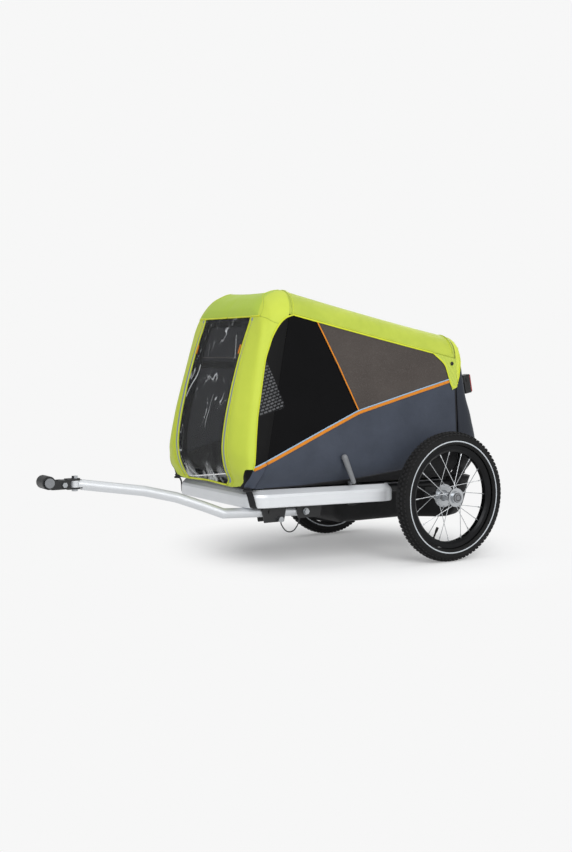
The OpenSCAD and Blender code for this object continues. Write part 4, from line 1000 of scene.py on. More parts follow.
class TRAILER_OT_lanyard(TrailerOperator, bpy.types.Operator):
    """Cord that keeps the drawbar's lock pin with its bracket"""
    bl_idname = "trailer.lanyard"
    bl_label = "Lock pin lanyard"

    def execute(self, context):
        last = len(LANYARD_KNOTS) - 1

        def knot(i):
            return Vector(LANYARD_KNOTS[clamp(i, 0, last)])

        line = [at_axle(*curve_point(knot, at)) for at in spread(0, last, 48)]
        curve = bpy.data.curves.new("Lanyard", "CURVE")
        curve.dimensions = "3D"
        curve.bevel_depth = LANYARD_D / 2
        curve.bevel_resolution = 3
        curve.use_fill_caps = True
        spline = curve.splines.new("POLY")
        spline.points.add(len(line) - 1)
        for point, p in zip(spline.points, line):
            point.co = (*p, 1)
        curve.materials.append(FINISH["cord"])
        obj = add_object("Lanyard", curve)
        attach(obj, "frame")
        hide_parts("pin_lanyard")
        return {"FINISHED"}


HARD_PARTS = {
    "rail": ["bumper_rail"],
    "drawbar": ["drawbar"],
    "frame": ["side_tubes", "cross_tubes", "axle_blocks", "hoop_brackets", "front_hoop", "rear_hoop"],
    "steel": ["hoop_pins", "pivot_bolt", "hitch_bolts", "lock_pin", "stub_axle_left", "stub_axle_right"],
    "spoke": ["spokes_left", "spokes_right"],
    "hub": ["hub_left", "hub_right"],
    "rim": ["rim_left", "rim_right"],
    "cast": ["hitch_knuckle", "hitch_yoke", "coupling_barrel", "drawbar_bracket"],
    "black_plastic": ["lock_disc_left", "lock_disc_right", "rail_spacers"],
    "grey_plastic": ["lock_lever_left", "lock_lever_right", "hub_button_left", "hub_button_right",
                     "coupling_button"],
    "rubber": ["valve_left", "valve_right"],
    "board": ["floor_board", "front_ramp_board"],
    "orange": ["zip_pulls"],
}


class TRAILER_OT_finishes(TrailerOperator, bpy.types.Operator):
    """Finishes of the hard parts that keep their own shape"""
    bl_idname = "trailer.finishes"
    bl_label = "Hard part finishes"

    def execute(self, context):
        for finish, nodes in HARD_PARTS.items():
            for node in nodes:
                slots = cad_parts[node].data.materials
                slots.clear()
                slots.append(FINISH[finish])
        return {"FINISHED"}


BEAD_R, TYRE_WALL, TREAD_SINK = 157.3 * MM, 3.2 * MM, 0.9 * MM
BLOCK_ACROSS, BLOCK_ALONG = 8.2 * MM, 6.6 * MM
# Rows of tread blocks: their angle round the section, and their shift as a share of one block's pitch.
TREAD_ROWS = ((-52, 0), (-26, 0.5), (0, 0), (26, 0.5), (52, 0))
REFLEX_ANGLE = math.radians(103)


class TRAILER_OT_tyres(TrailerOperator, bpy.types.Operator):
    """Tyres with rows of tread blocks and a reflective line"""
    bl_idname = "trailer.tyres"
    bl_label = "Tyres"

    def section(self, mid, half):
        """Radius and place across: over the crown from bead to bead, then back along the inside."""
        outer, inner = [], []
        for degrees in spread(-138, 138, 32):
            a = math.radians(degrees)
            r = half - self.sizes.tread_height * smooth(1.3, 0.5, abs(a))
            outer.append((mid + r * math.cos(a), r * math.sin(a)))
        for degrees in spread(128, -128, 20):
            a = math.radians(degrees)
            inner.append((mid + (half - TYRE_WALL) * math.cos(a), (half - TYRE_WALL) * math.sin(a)))
        return [p for p in outer + inner if p[0] > BEAD_R]

    def reflex_line(self, c, mid, half, s):
        r = mid + (half + 0.1 * MM) * math.cos(REFLEX_ANGLE)
        y = s * (half - 0.2 * MM) * math.sin(REFLEX_ANGLE)
        outwards = [Vector((math.cos(t), 0, math.sin(t))) for t in round_angles(120)]
        ring = [c + r * d + Vector((0, y, 0)) for d in outwards]
        return tube("ReflexLine", ring, 2.2 * MM, "reflex", sides=8, flat=0.25, up=outwards, closed=True)

    def execute(self, context):
        tree = tread_tree()
        lo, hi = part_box("tyre_left")
        half = (hi.y - lo.y) / 2
        mid = (hi.z - lo.z) / 2 - half
        section = self.section(mid, half)
        for side in ("left", "right"):
            c = centre("tyre_" + side)
            rows = [[c + Vector((r * math.cos(t), y, r * math.sin(t))) for r, y in section]
                    for t in round_angles(144)]
            body = close_ring(grid("TyreBody_" + side, rows + [rows[0]], "rubber", closed=True))
            for angle, phase in TREAD_ROWS:
                a = math.radians(angle)
                body = run_group(body, tree, {
                    "Radius": mid + (half - TREAD_SINK) * math.cos(a),
                    "Offset": (half - TREAD_SINK) * math.sin(a), "Count": self.sizes.tread_count,
                    "Phase": phase * 2 * math.pi / self.sizes.tread_count,
                    "Block": (self.sizes.tread_height, BLOCK_ACROSS, BLOCK_ALONG), "Centre": tuple(c),
                    "Rubber": FINISH["tread"]})
            obj = join("Tyre_" + side, [body] + [self.reflex_line(c, mid, half, s) for s in (-1, 1)])
            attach(obj, "wheel_" + side)
            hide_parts("tyre_" + side)
        return {"FINISHED"}


# How far the roof's cloth hangs at its shoulders and in its middle, and how much it ripples, in mm.
SHOULDER_HANG, ROOF_HANG, ROOF_RIPPLE = 3.0, 4.0, 1.6
# The tails' lower edge on the side wall, as (x, z), and its height over x where it runs on over the rear.
TAIL_EDGE = [(50, 603), (75, 522)]
TAIL_ON_REAR = [(88, 528), (104, 560), (124, 640)]


class TRAILER_OT_canopy(TrailerOperator, bpy.types.Operator):
    """Roof cloth from hoop to hoop, with its side bands, tails, bindings and seams"""
    bl_idname = "trailer.canopy"
    bl_label = "Canopy"

    def roof_row(self, s):
        """One line of roof points across the trailer, from band edge to band edge."""
        z, r = roof_z(s), shoulder_r(s)
        hang = math.sin(math.pi * s)
        start = math.degrees(math.asin(clamp(1 - BAND / r, -1.0, 1.0)))
        half = []
        for k, angle in enumerate(spread(start, 90, 16)):
            h = z - r * (1 - math.sin(math.radians(angle)))
            x = skin_x(s, h)
            fold = folds(x, h * 1.4, 0.7) * min(1, s * 10, (1 - s) * 10)
            half.append((x, skin_half(s, h) + fold, h - SHOULDER_HANG * hang * smooth(0.6, 1.0, k / 16)))
        x, y, h = half[-1]

        def top(y):
            hollow = ROOF_HANG * hang * (1 - (y / skin_half(s, z - 1)) ** 2)
            ripples = ROOF_RIPPLE * noise.noise(Vector((x * 0.008, y * 0.02, 1.0)))
            return h - hollow + ripples * min(1, s * 12, (1 - s) * 12) - roof_sag(y, s)

        crown = [y * (1 - k / 12) for k in range(1, 12)]
        left = [at_axle(px, -py, pz) for px, py, pz in half] + [at_axle(x, -py, top(-py)) for py in crown]
        right = [at_axle(px, py, pz) for px, py, pz in half] + [at_axle(x, py, top(py)) for py in crown]
        return left + [at_axle(x, 0, top(0))] + right[::-1]

    def tails(self):
        """Mesh corners that hang below the band at the rear, each with its bound edge and eyelet."""
        low = [(4, band_z(4) - 1.5), *TAIL_EDGE, (hoop_x(1, 530) + 3, 530)]
        high = [(x, band_z(x) + 0.2) for x in (4, 50, 75)] + [(hoop_x(1, 625) + 3, band_z(90) + 0.2)]
        mesh = wall_patch("Tail", low, high, 36, 28, "tail", lift=2.6)
        edge = trim("TailEdge", [(4, band_z(4)), *TAIL_EDGE, (91, 530)], self.sizes.binding / MM, "binding",
                    lift=2.6)
        ring = [wall_point(76 + 3.2 * math.cos(t), 604 + 3.2 * math.sin(t), 3.4) for t in round_angles(20)]
        eyelet = tube("Eyelet", ring, 3.1 * MM, "black_plastic", sides=8, closed=True)
        return both([mesh, edge, eyelet], "Tails")

    def band_edges(self):
        band = [(x, band_z(x) + 0.5) for x in (-500, -420, -300, -150, -30, 4)]
        edge = trim("BandEdge", band, self.sizes.binding / MM, "binding")
        sewn = stitches("BandStitches", [wall_point(p.x, p.y + 5.5, 1.0) for p in resample(band, 12)])
        return both([edge, sewn], "CanopyEdges")

    def hoop_seam(self, s):
        """A seam across the roof over a hoop, and its stitches on the side towards the cabin's middle."""
        z, r = roof_z(s), shoulder_r(s)
        left = []
        for angle in spread(4, 90, 14):
            h = z - r * (1 - math.sin(math.radians(angle)))
            left.append(at_axle(skin_x(s, h), -skin_half(s, h) - 0.8, h + 0.8))
        right = [Vector((p.x, -p.y, p.z)) for p in left][::-1]
        middle = [left[-1].lerp(right[0], k / 16) for k in range(1, 16)]
        line = [p - UP * roof_sag(p.y / MM, s) * MM for p in left + middle + right]
        inwards = Vector((0.006 if s < 0.5 else -0.006, 0, 0.0004))
        return [tube("Seam", line, 1.5 * MM, "canopy", sides=8),
                stitches("SeamStitches", [p + inwards for p in line])]

    def execute(self, context):
        roof = grid("Canopy", [self.roof_row(s) for s in spread(0.0006, 0.9994, 56)], "canopy")
        roof = thicken(face_out(roof, CABIN), self.sizes.cloth)
        sides = self.tails()
        edges = self.band_edges()
        seam = join("CanopySeams", self.hoop_seam(0.012) + self.hoop_seam(0.985))
        for obj in (roof, sides, edges, seam):
            soft(obj)
        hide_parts("roof")
        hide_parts("roof_tail_left", "roof_tail_right")
        return {"FINISHED"}


# Places along the lower edge of the side wall, where the panels above and below it meet.
EDGE_STOPS = (-470, -400, -289, -140, -60, 10, 50)
SIDE_PANELS = (("Window", "side_window", "black_fabric", "SideWindow"),
               ("Panel", "side_panel", "brown_fabric", "SidePanel"),
               ("Lower", "lower_panel", "slate_fabric", "LowerPanel"),
               ("Skirt", "skirt", "black_fabric", "Skirt"))


class TRAILER_OT_sides(TrailerOperator, bpy.types.Operator):
    """Side walls: dark window, heathered panel, lower panel and skirt, with their piping"""
    bl_idname = "trailer.sides"
    bl_label = "Side walls"

    def panels(self):
        """The left wall's four cloths, by name. Each keeps clear of its neighbours by a narrow gap."""
        cloth = self.sizes.cloth / MM

        def above_pipe(stops):
            return [(x, pipe_z(x) + 0.3) for x in stops]

        def below_band(stops):
            return [(x, band_z(x) - 0.3) for x in stops]

        def edge(stops, gap):
            return [(x, lookup(x, LOWER_EDGE) + gap) for x in stops]

        front = hoop_x(0, 327) + 0.5
        front_top = hoop_x(0, band_z(-526)) + 0.5
        rear, rear_top = (hoop_x(1, z) - 0.5 for z in (558, 625))
        window = wall_patch("Window", above_pipe((front, -532, -451, -370, -290)),
                            below_band(spread(front_top, -421, 4)), 44, 46, "window", 1.3, cloth)
        panel = wall_patch("Panel", above_pipe((-288, -200, -110, -20, 65, rear)),
                           below_band((-419, -320, -210, -110, -10, rear_top)), 52, 40, "panel", 1.0, cloth)
        lower = wall_patch("Lower", edge((hoop_x(0, 250) + 0.6, *EDGE_STOPS, 87.6), 0),
                           [(x, pipe_z(x) - 0.3) for x in (front, *EDGE_STOPS, rear)], 64, 34, "slate",
                           1.2, cloth)
        skirt = wall_patch("Skirt", [(x, WALL_Z + 0.3) for x in (*EDGE_STOPS, 87.6)],
                           edge((*EDGE_STOPS, 87.6), -0.3), 56, 12, "black_cloth", 1.5, cloth)
        # The window cloth carries a triangle of reflective dashes.
        mark(window, "patch", [dash_zone((v.co.x - AXLE_X) / MM, v.co.z / MM) for v in window.data.vertices])
        return {"Window": window, "Panel": panel, "Lower": lower, "Skirt": skirt}

    def trims(self):
        pipe = [(x, pipe_z(x)) for x in (-612, -500, -400, -289, -100, 66)]
        slant = [(-420, band_z(-420)), (-354, 602), (-288, 467)]
        edge = [(x, lookup(x, LOWER_EDGE)) for x in (-600, *EDGE_STOPS, 86)]
        rear = [(86, 254), (86.5, 350), (87.5, 450), (88, 556)]
        return both([
            trim("Piping", pipe, self.sizes.piping / MM, "piping", lift=1.0, flat=0.3, shift=-3.0),
            trim("PalePiping", pipe, 4.0, "piping_pale", lift=1.4, flat=0.5, shift=3.6),
            trim("SlantPiping", slant, 4.6, "piping", lift=1.0),
            trim("LowerSeam", edge, 3.0, "webbing", lift=0.4, flat=0.4),
            trim("RearSeam", rear, 3.4, "webbing", lift=0.6)], "SideTrims")

    def execute(self, context):
        panels = self.panels()
        for side in ("right", "left"):
            for key, node, slot, name in SIDE_PANELS:
                piece = panels[key]
                if side == "right":
                    piece = mirror_object(piece, name + "_right")
                piece.name = name + "_" + side
                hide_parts(node + "_" + side)
                soft(piece)
        trims = self.trims()
        soft(trims)
        return {"FINISHED"}


# Rings of the front hood, from the window's edge back to the front hoop: foot x, lean, half width at foot
# and shoulder, top height, shoulder radius, share of the wall's bulge and share of the window's bow.
HOOD_FOOT_X = WINDOW_X - WINDOW_LEAN * (WINDOW_LOW - PIN_Z)
HOOD_RINGS = (
    (HOOD_FOOT_X, WINDOW_LEAN, 136.4, 136.4, 740.4, 1, 0, 1),
    (HOOD_FOOT_X, WINDOW_LEAN, 168, 156, 752, 34, 0.6, 1),
    (HOOD_FOOT_X, WINDOW_LEAN * 1.04, 205, 192, 768.3, 75, 0.95, 0.5),
    (HOOD_FOOT_X + 3, WINDOW_LEAN * 1.18, 214, 202, 790.2, 82, 1, 0.2),
    (HOOD_FOOT_X + 10, WINDOW_LEAN * 1.26, 218, 208, 803.2, 85, 1, 0),
    (HOOP_X[0] - 10, 0.208, FOOT_HW, 213, 816.1, 82, 1, 0),
    (HOOP_X[0], LEAN[0], FOOT_HW, SHOULDER_HW[0], ROOF_Z[0], SHOULDER_R[0], 1, 0),
)
HOOD_INSIDE = Vector((-400, 0, 480))
HOOP_RING = len(HOOD_RINGS) - 1
# Along a ring, the upright side ends and the shoulder's arc ends at these shares.
SIDE_END, ARC_END = 0.5, 0.72
VISOR_Z = 742


def ring_point(ring, q):
    """A point of one hood ring, in mm: q from 0 at the foot to 1 at the middle of the top."""
    x, lean, foot, shoulder, top, r, full, bow = ring
    if q < SIDE_END:
        z = lerp(WALL_Z + 4, top - r, (q / SIDE_END) ** 1.2)
    elif q < ARC_END:
        z = top - r * (1 - math.sin((q - SIDE_END) / (ARC_END - SIDE_END) * math.pi / 2))
    else:
        z = top
    plain = lerp(foot, shoulder, (z - WALL_Z) / (top - WALL_Z)) - arc_fall(r, max(z - top + r, 0))
    y = lerp(plain, wall_half(z, top, foot, shoulder, r), full)
    if ring is HOOD_RINGS[0]:
        y -= WINDOW_HW - window_half(z)
    if q > ARC_END:
        y *= 1 - (q - ARC_END) / (1 - ARC_END)
    return Vector((x + lean * (z - PIN_Z) - bow * bow_at(z), -y, z))


def hood_point(k, q):
    """A point of the hood, with its folds: k from 0 at the window to 6 at the hoop."""
    p = curve_point(lambda i: ring_point(HOOD_RINGS[clamp(i, 0, HOOP_RING)], q), k)
    calm = min(1, k, (HOOP_RING - k) * 0.7)
    # Gathers fan out from the lower corner, where the cloth is drawn together.
    spoke = math.atan2(p.z - 255, -580 - p.x)
    gather = smooth(400, 280, p.z) * 3.4 * noise.noise(Vector((spoke * 5.5, p.z * 0.012, 2.0)))
    broad = 2.0 * noise.noise(Vector((p.x * 0.01, p.y * 0.012, p.z * 0.009)))
    crown = smooth(760, 815, p.z) * 2.6 * noise.noise(Vector((p.y * 0.022, 4.0, k * 0.3)))
    p.x -= (gather + broad) * calm * smooth(5.5, 2.5, k)
    p.y -= (broad + gather * 0.6) * calm * smooth(1.0, 4.0, k) * (1 - smooth(0.66, 0.8, q))
    p.z += crown * calm - crown_sag(p.y) * smooth(2, 6, k) * smooth(760, 800, p.z)
    return p


def hood_surface(k, q, lift):
    """A point of the hood in the frame, lifted off it by so many mm."""
    p = hood_point(k, q)
    du = hood_point(min(k + 0.05, HOOP_RING), q) - hood_point(max(k - 0.05, 0), q)
    dv = hood_point(k, min(q + 0.01, 1)) - hood_point(k, max(q - 0.01, 0))
    n = du.cross(dv).normalized()
    return at_axle(*(p + n * (-lift if n.dot(p - HOOD_INSIDE) < 0 else lift)))


def crossing(lo, hi, rounds, reached):
    """The place between lo and hi from which reached holds, by halving."""
    for _ in range(rounds):
        mid = (lo + hi) / 2
        if reached(mid):
            hi = mid
        else:
            lo = mid
    return (lo + hi) / 2


def hood_k_at(q, x):
    """Where along the hood's depth a line across it at this q reaches x."""
    return crossing(1.0, HOOP_RING, 24, lambda k: hood_point(k, q).x >= x)


def hood_q_at(k, z):
    """Where a hood ring reaches this height."""
    return crossing(0.0, ARC_END, 18, lambda q: hood_point(k, q).z >= z)


def flank_point(x, z, lift):
    """A point of the left flank: on the hood ahead of the front hoop, on the wall behind it."""
    if x > hoop_x(0, z) - 1.5:
        return wall_point(x, z, lift)
    k = 5.0
    for _ in range(3):
        q = hood_q_at(k, z)
        k = hood_k_at(q, x)
    return hood_surface(k, q, lift)


class TRAILER_OT_hood(TrailerOperator, bpy.types.Operator):
    """Front hood: lime cloth round the window, wrapping back to the front hoop"""
    bl_idname = "trailer.hood"
    bl_label = "Front hood"

    def zones(self, hood, points):
        """Marks where the cloth changes colour, and where shade is painted on the visor, by the distance in
        mm from each zone's edge.
        """
        lime_x = sorted((z, x) for x, z in LIME_EDGE)
        visor_shade, stripe, dark, slate, patch = [], [], [], [], []
        for p in points:
            y = abs(p.y)
            back = min(p.x - lookup(p.z, lime_x), LIME_EDGE[-1][1] - p.z, y - 150)
            foot = min(lookup(y, [(136, 250), (196, 258), (214, 272), (236, 310)]) - p.z, y - 140)
            # Painted shade: the panel over the window gets a deeper lime.
            visor_shade.append(min(p.z - VISOR_Z - 1, lookup(p.z, [(VISOR_Z, 173), (801, 150)]) - y, -450 - p.x))
            stripe.append(min(4.4 - abs(y - window_half(p.z) - 11.6), 738 - p.z, p.z - 262))
            dark.append(max(back, foot))
            slate.append(min(back, pipe_z(p.x) - p.z))
            patch.append(min(back, dash_zone(p.x, p.z)))
        for name, values in (("visor_shade", visor_shade), ("stripe", stripe), ("dark", dark), ("slate", slate),
                             ("patch", patch)):
            mark(hood, name, values)

    def bindings(self):
        """Yellow edges: round the window, over it, beside the grey stripe and down the lime cloth's side."""
        bind = self.sizes.binding / 2
        window = [hood_surface(0.12, t * 0.985 + 0.006, 0.8) for t in spread(0, 1, 80)]
        over = [hood_surface(k, hood_q_at(k, VISOR_Z), 0.9) for k in spread(0.1, 2.1, 16)]
        stripe = [hood_surface(0.56, t * 0.5 + 0.01, 0.8) for t in spread(0, 1, 60)]
        sewn = [hood_surface(0.72, t * 0.5 + 0.01, 0.6) for t in spread(0, 1, 60)]
        side = [flank_point(p.x, p.y, 0.9) for p in resample([(-651.5, 308)] + LIME_EDGE[2:], 8.0)]
        return [tube("WindowBinding", window, bind, "binding", flat=0.6),
                tube("TopBinding", over, bind, "binding", flat=0.6),
                tube("StripeEdge", stripe, 0.0012, "binding", sides=8, flat=0.7),
                stitches("HoodStitches", sewn),
                tube("SideBinding", side, bind, "binding", flat=0.6)]

    def flank_piping(self):
        """The side piping carries on over the hood's flank to the lime edge."""
        line = [flank_point(x, pipe_z(x), 1.0) for x in spread(-650, -613, 8)]
        up = [UP] * len(line)
        return [tube("FlankPiping", [p - UP * 0.003 for p in line], self.sizes.piping / 2, "piping",
                     flat=0.35, up=up),
                tube("FlankPale", [p + UP * 0.0035 for p in line], 0.002, "piping_pale", flat=0.6, up=up)]

    def corner_seams(self):
        """Seams from the window's top corner up to the hoop."""
        start = hood_q_at(2.1, VISOR_Z)
        corner = [hood_surface(lerp(2.1, 5.9, t), lerp(start, 0.715, smooth(0, 0.7, t)), 0.4)
                  for t in spread(0, 1, 30)]
        branch = [hood_surface(k, hood_q_at(k, z), 0.4)
                  for k, z in zip(spread(2.1, 4.9, 16), spread(VISOR_Z, 718, 16))]
        return [tube("CornerSeam", corner, 0.0012, "canopy", sides=8, flat=0.7),
                stitches("CornerStitches", [p + Vector((0, 0.005, 0.0012)) for p in corner], 4.5, 3.0, 0.8),
                tube("BranchSeam", branch, 0.0012, "canopy", sides=8, flat=0.7)]

    def execute(self, context):
        rows, points = [], []
        for k in spread(0, HOOP_RING, 44):
            left = [hood_point(k, q) for q in spread(0, 1, 110)]
            row = left + [Vector((p.x, -p.y, p.z)) for p in left[-2::-1]]
            points += row
            rows.append([at_axle(*p) for p in row])
        hood = grid("Hood", rows, "hood")
        self.zones(hood, points)
        thicken(face_out(hood, CABIN), self.sizes.cloth)
        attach(hood, "front_frame")
        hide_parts("front_surround")
        foot = [at_axle(WINDOW_X - 2.5, y, WINDOW_LOW - 2.5 - 1.5 * math.cos((y + 116) / 116 * math.pi))
                for y in spread(-116, 116, 30)]
        hem = tube("WindowFoot", foot, self.sizes.binding * 0.625, "binding", flat=0.7)
        edges = both(self.bindings() + self.flank_piping() + self.corner_seams(), "HoodEdges")
        trims = join("HoodTrims", [edges, hem])
        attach(trims, "front_frame")
        return {"FINISHED"}


FILM_THICK, CURTAIN_THICK = 0.0005, 0.0006
CURTAIN_TOP, CURTAIN_FOOT = WINDOW_TOP - 3, 288
CURTAIN_GAP, CURTAIN_DEPTH = 2.2, 10.0
# Long creases of the film, drawn as painted highlight lines: lines of (y, z) in mm, with their half widths.
FILM_CREASES = (
    (((87, 735), (102, 676), (104, 622), (120, 609)), 0.8),
    (((80, 601), (82, 569), (117, 531), (128, 505)), 2.4),
    (((65, 537), (56, 494)), 0.8),
    (((-10, 510), (-26, 473), (-22, 440), (4, 417)), 0.9),
    (((-130, 505), (-84, 475)), 0.8),
    (((-89, 689), (-118, 622)), 1.2),
    (((130, 372), (124, 315), (98, 280)), 1.0),
    (((46, 738), (38, 700)), 0.7),
    (((-40, 738), (-48, 712)), 0.7),
)


def window_face(y, z, lift):
    """A point before or behind the window's bowed face, in the frame."""
    return at_axle(WINDOW_X + WINDOW_LEAN * (z - WINDOW_LOW) - bow_at(z) - lift, y, z)


def film_crease(y, z):
    """How far the film stands out in its creases, in mm. It lies flat at its edges."""
    a = noise.noise(Vector((y * 0.012 + z * 0.004, z * 0.005, 5.0)))
    b = noise.noise(Vector((y * 0.035 - z * 0.008, z * 0.012, 9.0)))
    c = abs(noise.noise(Vector((y * 0.02 + z * 0.02, z * 0.02 - y * 0.01, 4.0))))
    inside = smooth(0, 26, window_half(z) - abs(y))
    inside *= smooth(0, 22, z - WINDOW_LOW) * smooth(0, 22, WINDOW_TOP - z)
    return inside * (2.4 + 2.2 * a + 1.6 * b + (1.5 + 2.5 * smooth(380, 270, z)) * c)


def curtain_depth(y, z):
    """The netting hangs a little way behind the film, drawn forward at the window's edges."""
    back = CURTAIN_DEPTH + 1.5 * noise.noise(Vector((y * 0.01, z * 0.008, 2.2)))
    return -CURTAIN_GAP - back * smooth(0, 16, WINDOW_HW - 1 - abs(y)) * smooth(0, 14, CURTAIN_TOP - z)


def curtain_piece(name, y_from, y_to, low, high, finish, lift=0.0, wrinkle=0.0, steps=(24, 40)):
    """A piece of the curtain between two heights. Each is a number or given over the window's width."""
    rows = []
    for y in spread(y_from, y_to, steps[0]):
        a, b = (edge(y) if callable(edge) else edge for edge in (low, high))
        row = []
        for j, z in enumerate(spread(a, b, steps[1])):
            ruffle = wrinkle * noise.noise(Vector((y * 0.07, j * 0.05, 7.0)))
            row.append(window_face(y, z, curtain_depth(y, z) + lift + ruffle))
        rows.append(row)
    return thicken(face_out(grid(name, rows, finish), CABIN), CURTAIN_THICK)


class TRAILER_OT_window(TrailerOperator, bpy.types.Operator):
    """Front cover: creased clear vinyl over black netting"""
    bl_idname = "trailer.window"
    bl_label = "Front window"

    def film(self):
        heights = spread(WINDOW_LOW + 0.5, WINDOW_TOP - 0.5, 120)
        rows = []
        for side in spread(-1, 1, 60):
            places = [(side * (window_half(z) - 0.5), z) for z in heights]
            rows.append([window_face(y, z, 0.3 + self.sizes.crease * film_crease(y, z)) for y, z in places])
        film = face_out(grid("VinylWindow", rows, "film"), CABIN)
        # The crease lines are marked on the film for its painted highlights.
        creases = [([p.to_3d() for p in resample(line, 12)], width) for line, width in FILM_CREASES]

        def gap(p, a, b):
            return (p - a.lerp(b, clamp((p - a).dot(b - a) / (b - a).length_squared))).length

        marks = []
        for vertex in film.data.vertices:
            p = Vector((vertex.co.y / MM, vertex.co.z / MM, 0))
            marks.append(max(width - min(gap(p, a, b) for a, b in zip(line, line[1:]))
                             for line, width in creases))
        mark(film, "crease", marks)
        return thicken(film, FILM_THICK)

    def curtain(self):
        w, top, foot = WINDOW_HW - 2, CURTAIN_TOP, CURTAIN_FOOT

        def net_low(y):
            return lerp(392, 326, (y + w) / (2 * w))

        return join("NetCurtain", [
            curtain_piece("Net", -w, w, net_low, top, "net"),
            curtain_piece("TopBorder", -w, w, 714, top, "border", 1.0, 2.4, (80, 4)),
            curtain_piece("MidBand", -w, w, 592, 613, "border", 1.0, 0.5, (24, 4)),
            curtain_piece("LowBorder", -w, w, foot, net_low, "border", 0.8, 1.6, (40, 12)),
            curtain_piece("SideBorder", -w, -w + 30, foot, top, "border", 1.2, 0.8, (6, 60)),
            curtain_piece("SideBorder", w - 30, w, foot, top, "border", 1.2, 0.8, (6, 60)),
            curtain_piece("MidSeam", -w + 30, w - 30, 622.5, 624, "panel", 1.0, 0.3, (30, 1)),
        ])

    def execute(self, context):
        film = self.film()
        net = self.curtain()
        for obj, node, slot in ((film, "window_film", "film"), (net, "mesh_curtain", "mesh")):
            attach(obj, "front_cover")
            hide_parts(node)
        return {"FINISHED"}


# How far the rear wall stands out behind the rear hoop, as a share of its most, over its height.
REAR_SHAPE = [(0, 0.85), (0.07, 0.87), (0.26, 1), (0.43, 0.81), (0.57, 0.58), (0.79, 0.39), (0.9, 0.33),
              (0.96, 0.23), (0.99, 0.1), (1, 0.02)]
REAR_REACH = 138
REAR_BAND_Z = 653


def rear_share(z):
    return (z - WALL_Z) / (ROOF_Z[1] - WALL_Z)


def rear_point(h, a, lift=0.0):
    """A point of the rear wall in mm: h from its foot (0) to the roof (1), a from -90 at the left edge to
    90 degrees at the right one."""
    z = lerp(WALL_Z, ROOF_Z[1], h)
    reach = lookup(h, REAR_SHAPE) if h > 0.9 else blended(h, REAR_SHAPE, 0.03, 0.25, 0.5)
    c = math.cos(math.radians(a))
    calm = min(c * 3, 1) * min((1 - h) * 12, 1)
    crease = folds(a * 4, z, 1.2) * calm - 0.8 * calm
    x = skin_x(1, z) + 0.4 + reach * REAR_REACH * math.sqrt(max(c, 0)) + crease + lift * c
    y = skin_half(1, z) * abs(math.sin(math.radians(a))) ** 0.75 + lift * (1 - c)
    return Vector((x, math.copysign(y, a), z))


class TRAILER_OT_rear(TrailerOperator, bpy.types.Operator):
    """Rear wall with its lime top, bindings, seams and zips"""
    bl_idname = "trailer.rear"
    bl_label = "Rear wall"

    def wall(self):
        rows, points = [], []
        for a in spread(-89.9, 89.9, 96):
            row = [rear_point(h, a) for h in spread(0.008, 1, 70)]
            points += row
            rows.append([at_axle(*p) for p in row])
        wall = grid("RearWall", rows, "rear")
        low, top = [], []
        for p in points:
            low.append(365 - p.z - 10 * smooth(150, 230, abs(p.y)))
            tail = min(p.z - lookup(p.x, TAIL_ON_REAR), TAIL_ON_REAR[-1][0] - p.x)
            top.append(max(p.z - REAR_BAND_Z, tail if abs(p.y) > 150 else -1))
        mark(wall, "low", low)
        mark(wall, "top", top)
        return thicken(face_out(wall, CABIN), self.sizes.cloth)

    def across(self, z, lift, reach=89):
        """A line round the wall at height z, to so many degrees on both sides."""
        return [at_axle(*rear_point(rear_share(z), a, lift)) for a in spread(-reach, reach, 80)]

    def tail_binding(self, s):
        """The bound edge of the roof's tail where it runs on over the wall. s is the side, -1 or 1."""
        line = []
        for z in spread(531, REAR_BAND_Z, 30):
            h = rear_share(z)
            target = lookup(z, [(528, 90), (560, 104), (640, 123), (653, 124)])
            nearest = min((abs(rear_point(h, a).x - target), a) for a in spread(-89.9, -30.4, 119))[1]
            line.append(at_axle(*rear_point(h, nearest * -s, 0.9)))
        return tube("TailBinding", line, self.sizes.binding / 2, "binding", flat=0.6)

    def zip_line(self, s):
        """An upright zip with its teeth. s is the side, -1 or 1."""
        seam = [at_axle(*rear_point(h, 38 * s, 0.7)) for h in spread(0.1, 0.86, 50)]
        return [tube("RearZip", seam, 0.003, "webbing", sides=8, flat=0.4),
                stitches("ZipTeeth", [p + Vector((0.0012, 0, 0)) for p in seam], 2.6, 1.2, 3.0,
                         "black_plastic")]

    def execute(self, context):
        wall = self.wall()
        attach(wall, "rear_frame")
        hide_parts("rear_panel")
        band = self.across(REAR_BAND_Z, 0.9, 72)
        pieces = [tube("TopBinding", band, self.sizes.binding / 2, "binding", flat=0.6),
                  stitches("TopStitches", self.across(660, 0.6, 70)),
                  tube("LowSeam", self.across(364, 0.5), 0.0016, "webbing", sides=8, flat=0.6),
                  tube("FootHem", self.across(254, 0.6), 0.0022, "webbing", sides=8, flat=0.6)]
        for s in (-1, 1):
            pieces += [self.tail_binding(s)] + self.zip_line(s)
        trims = join("RearTrims", pieces)
        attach(trims, "rear_frame")
        return {"FINISHED"}


LAMP_PLACE = Matrix.Translation(at_axle(159, -203, 507)) @ Matrix.Rotation(math.radians(-11), 4, "Y")


def lamp_block(name, size, at, bevel, finish, segments=4):
    """A rounded block of the lamp, its middle given in mm from the lamp's foot on the wall."""
    place = LAMP_PLACE @ Matrix.Translation([v * MM for v in at])
    return box_part(name, [v * MM for v in size], place, bevel * MM, finish, segments)


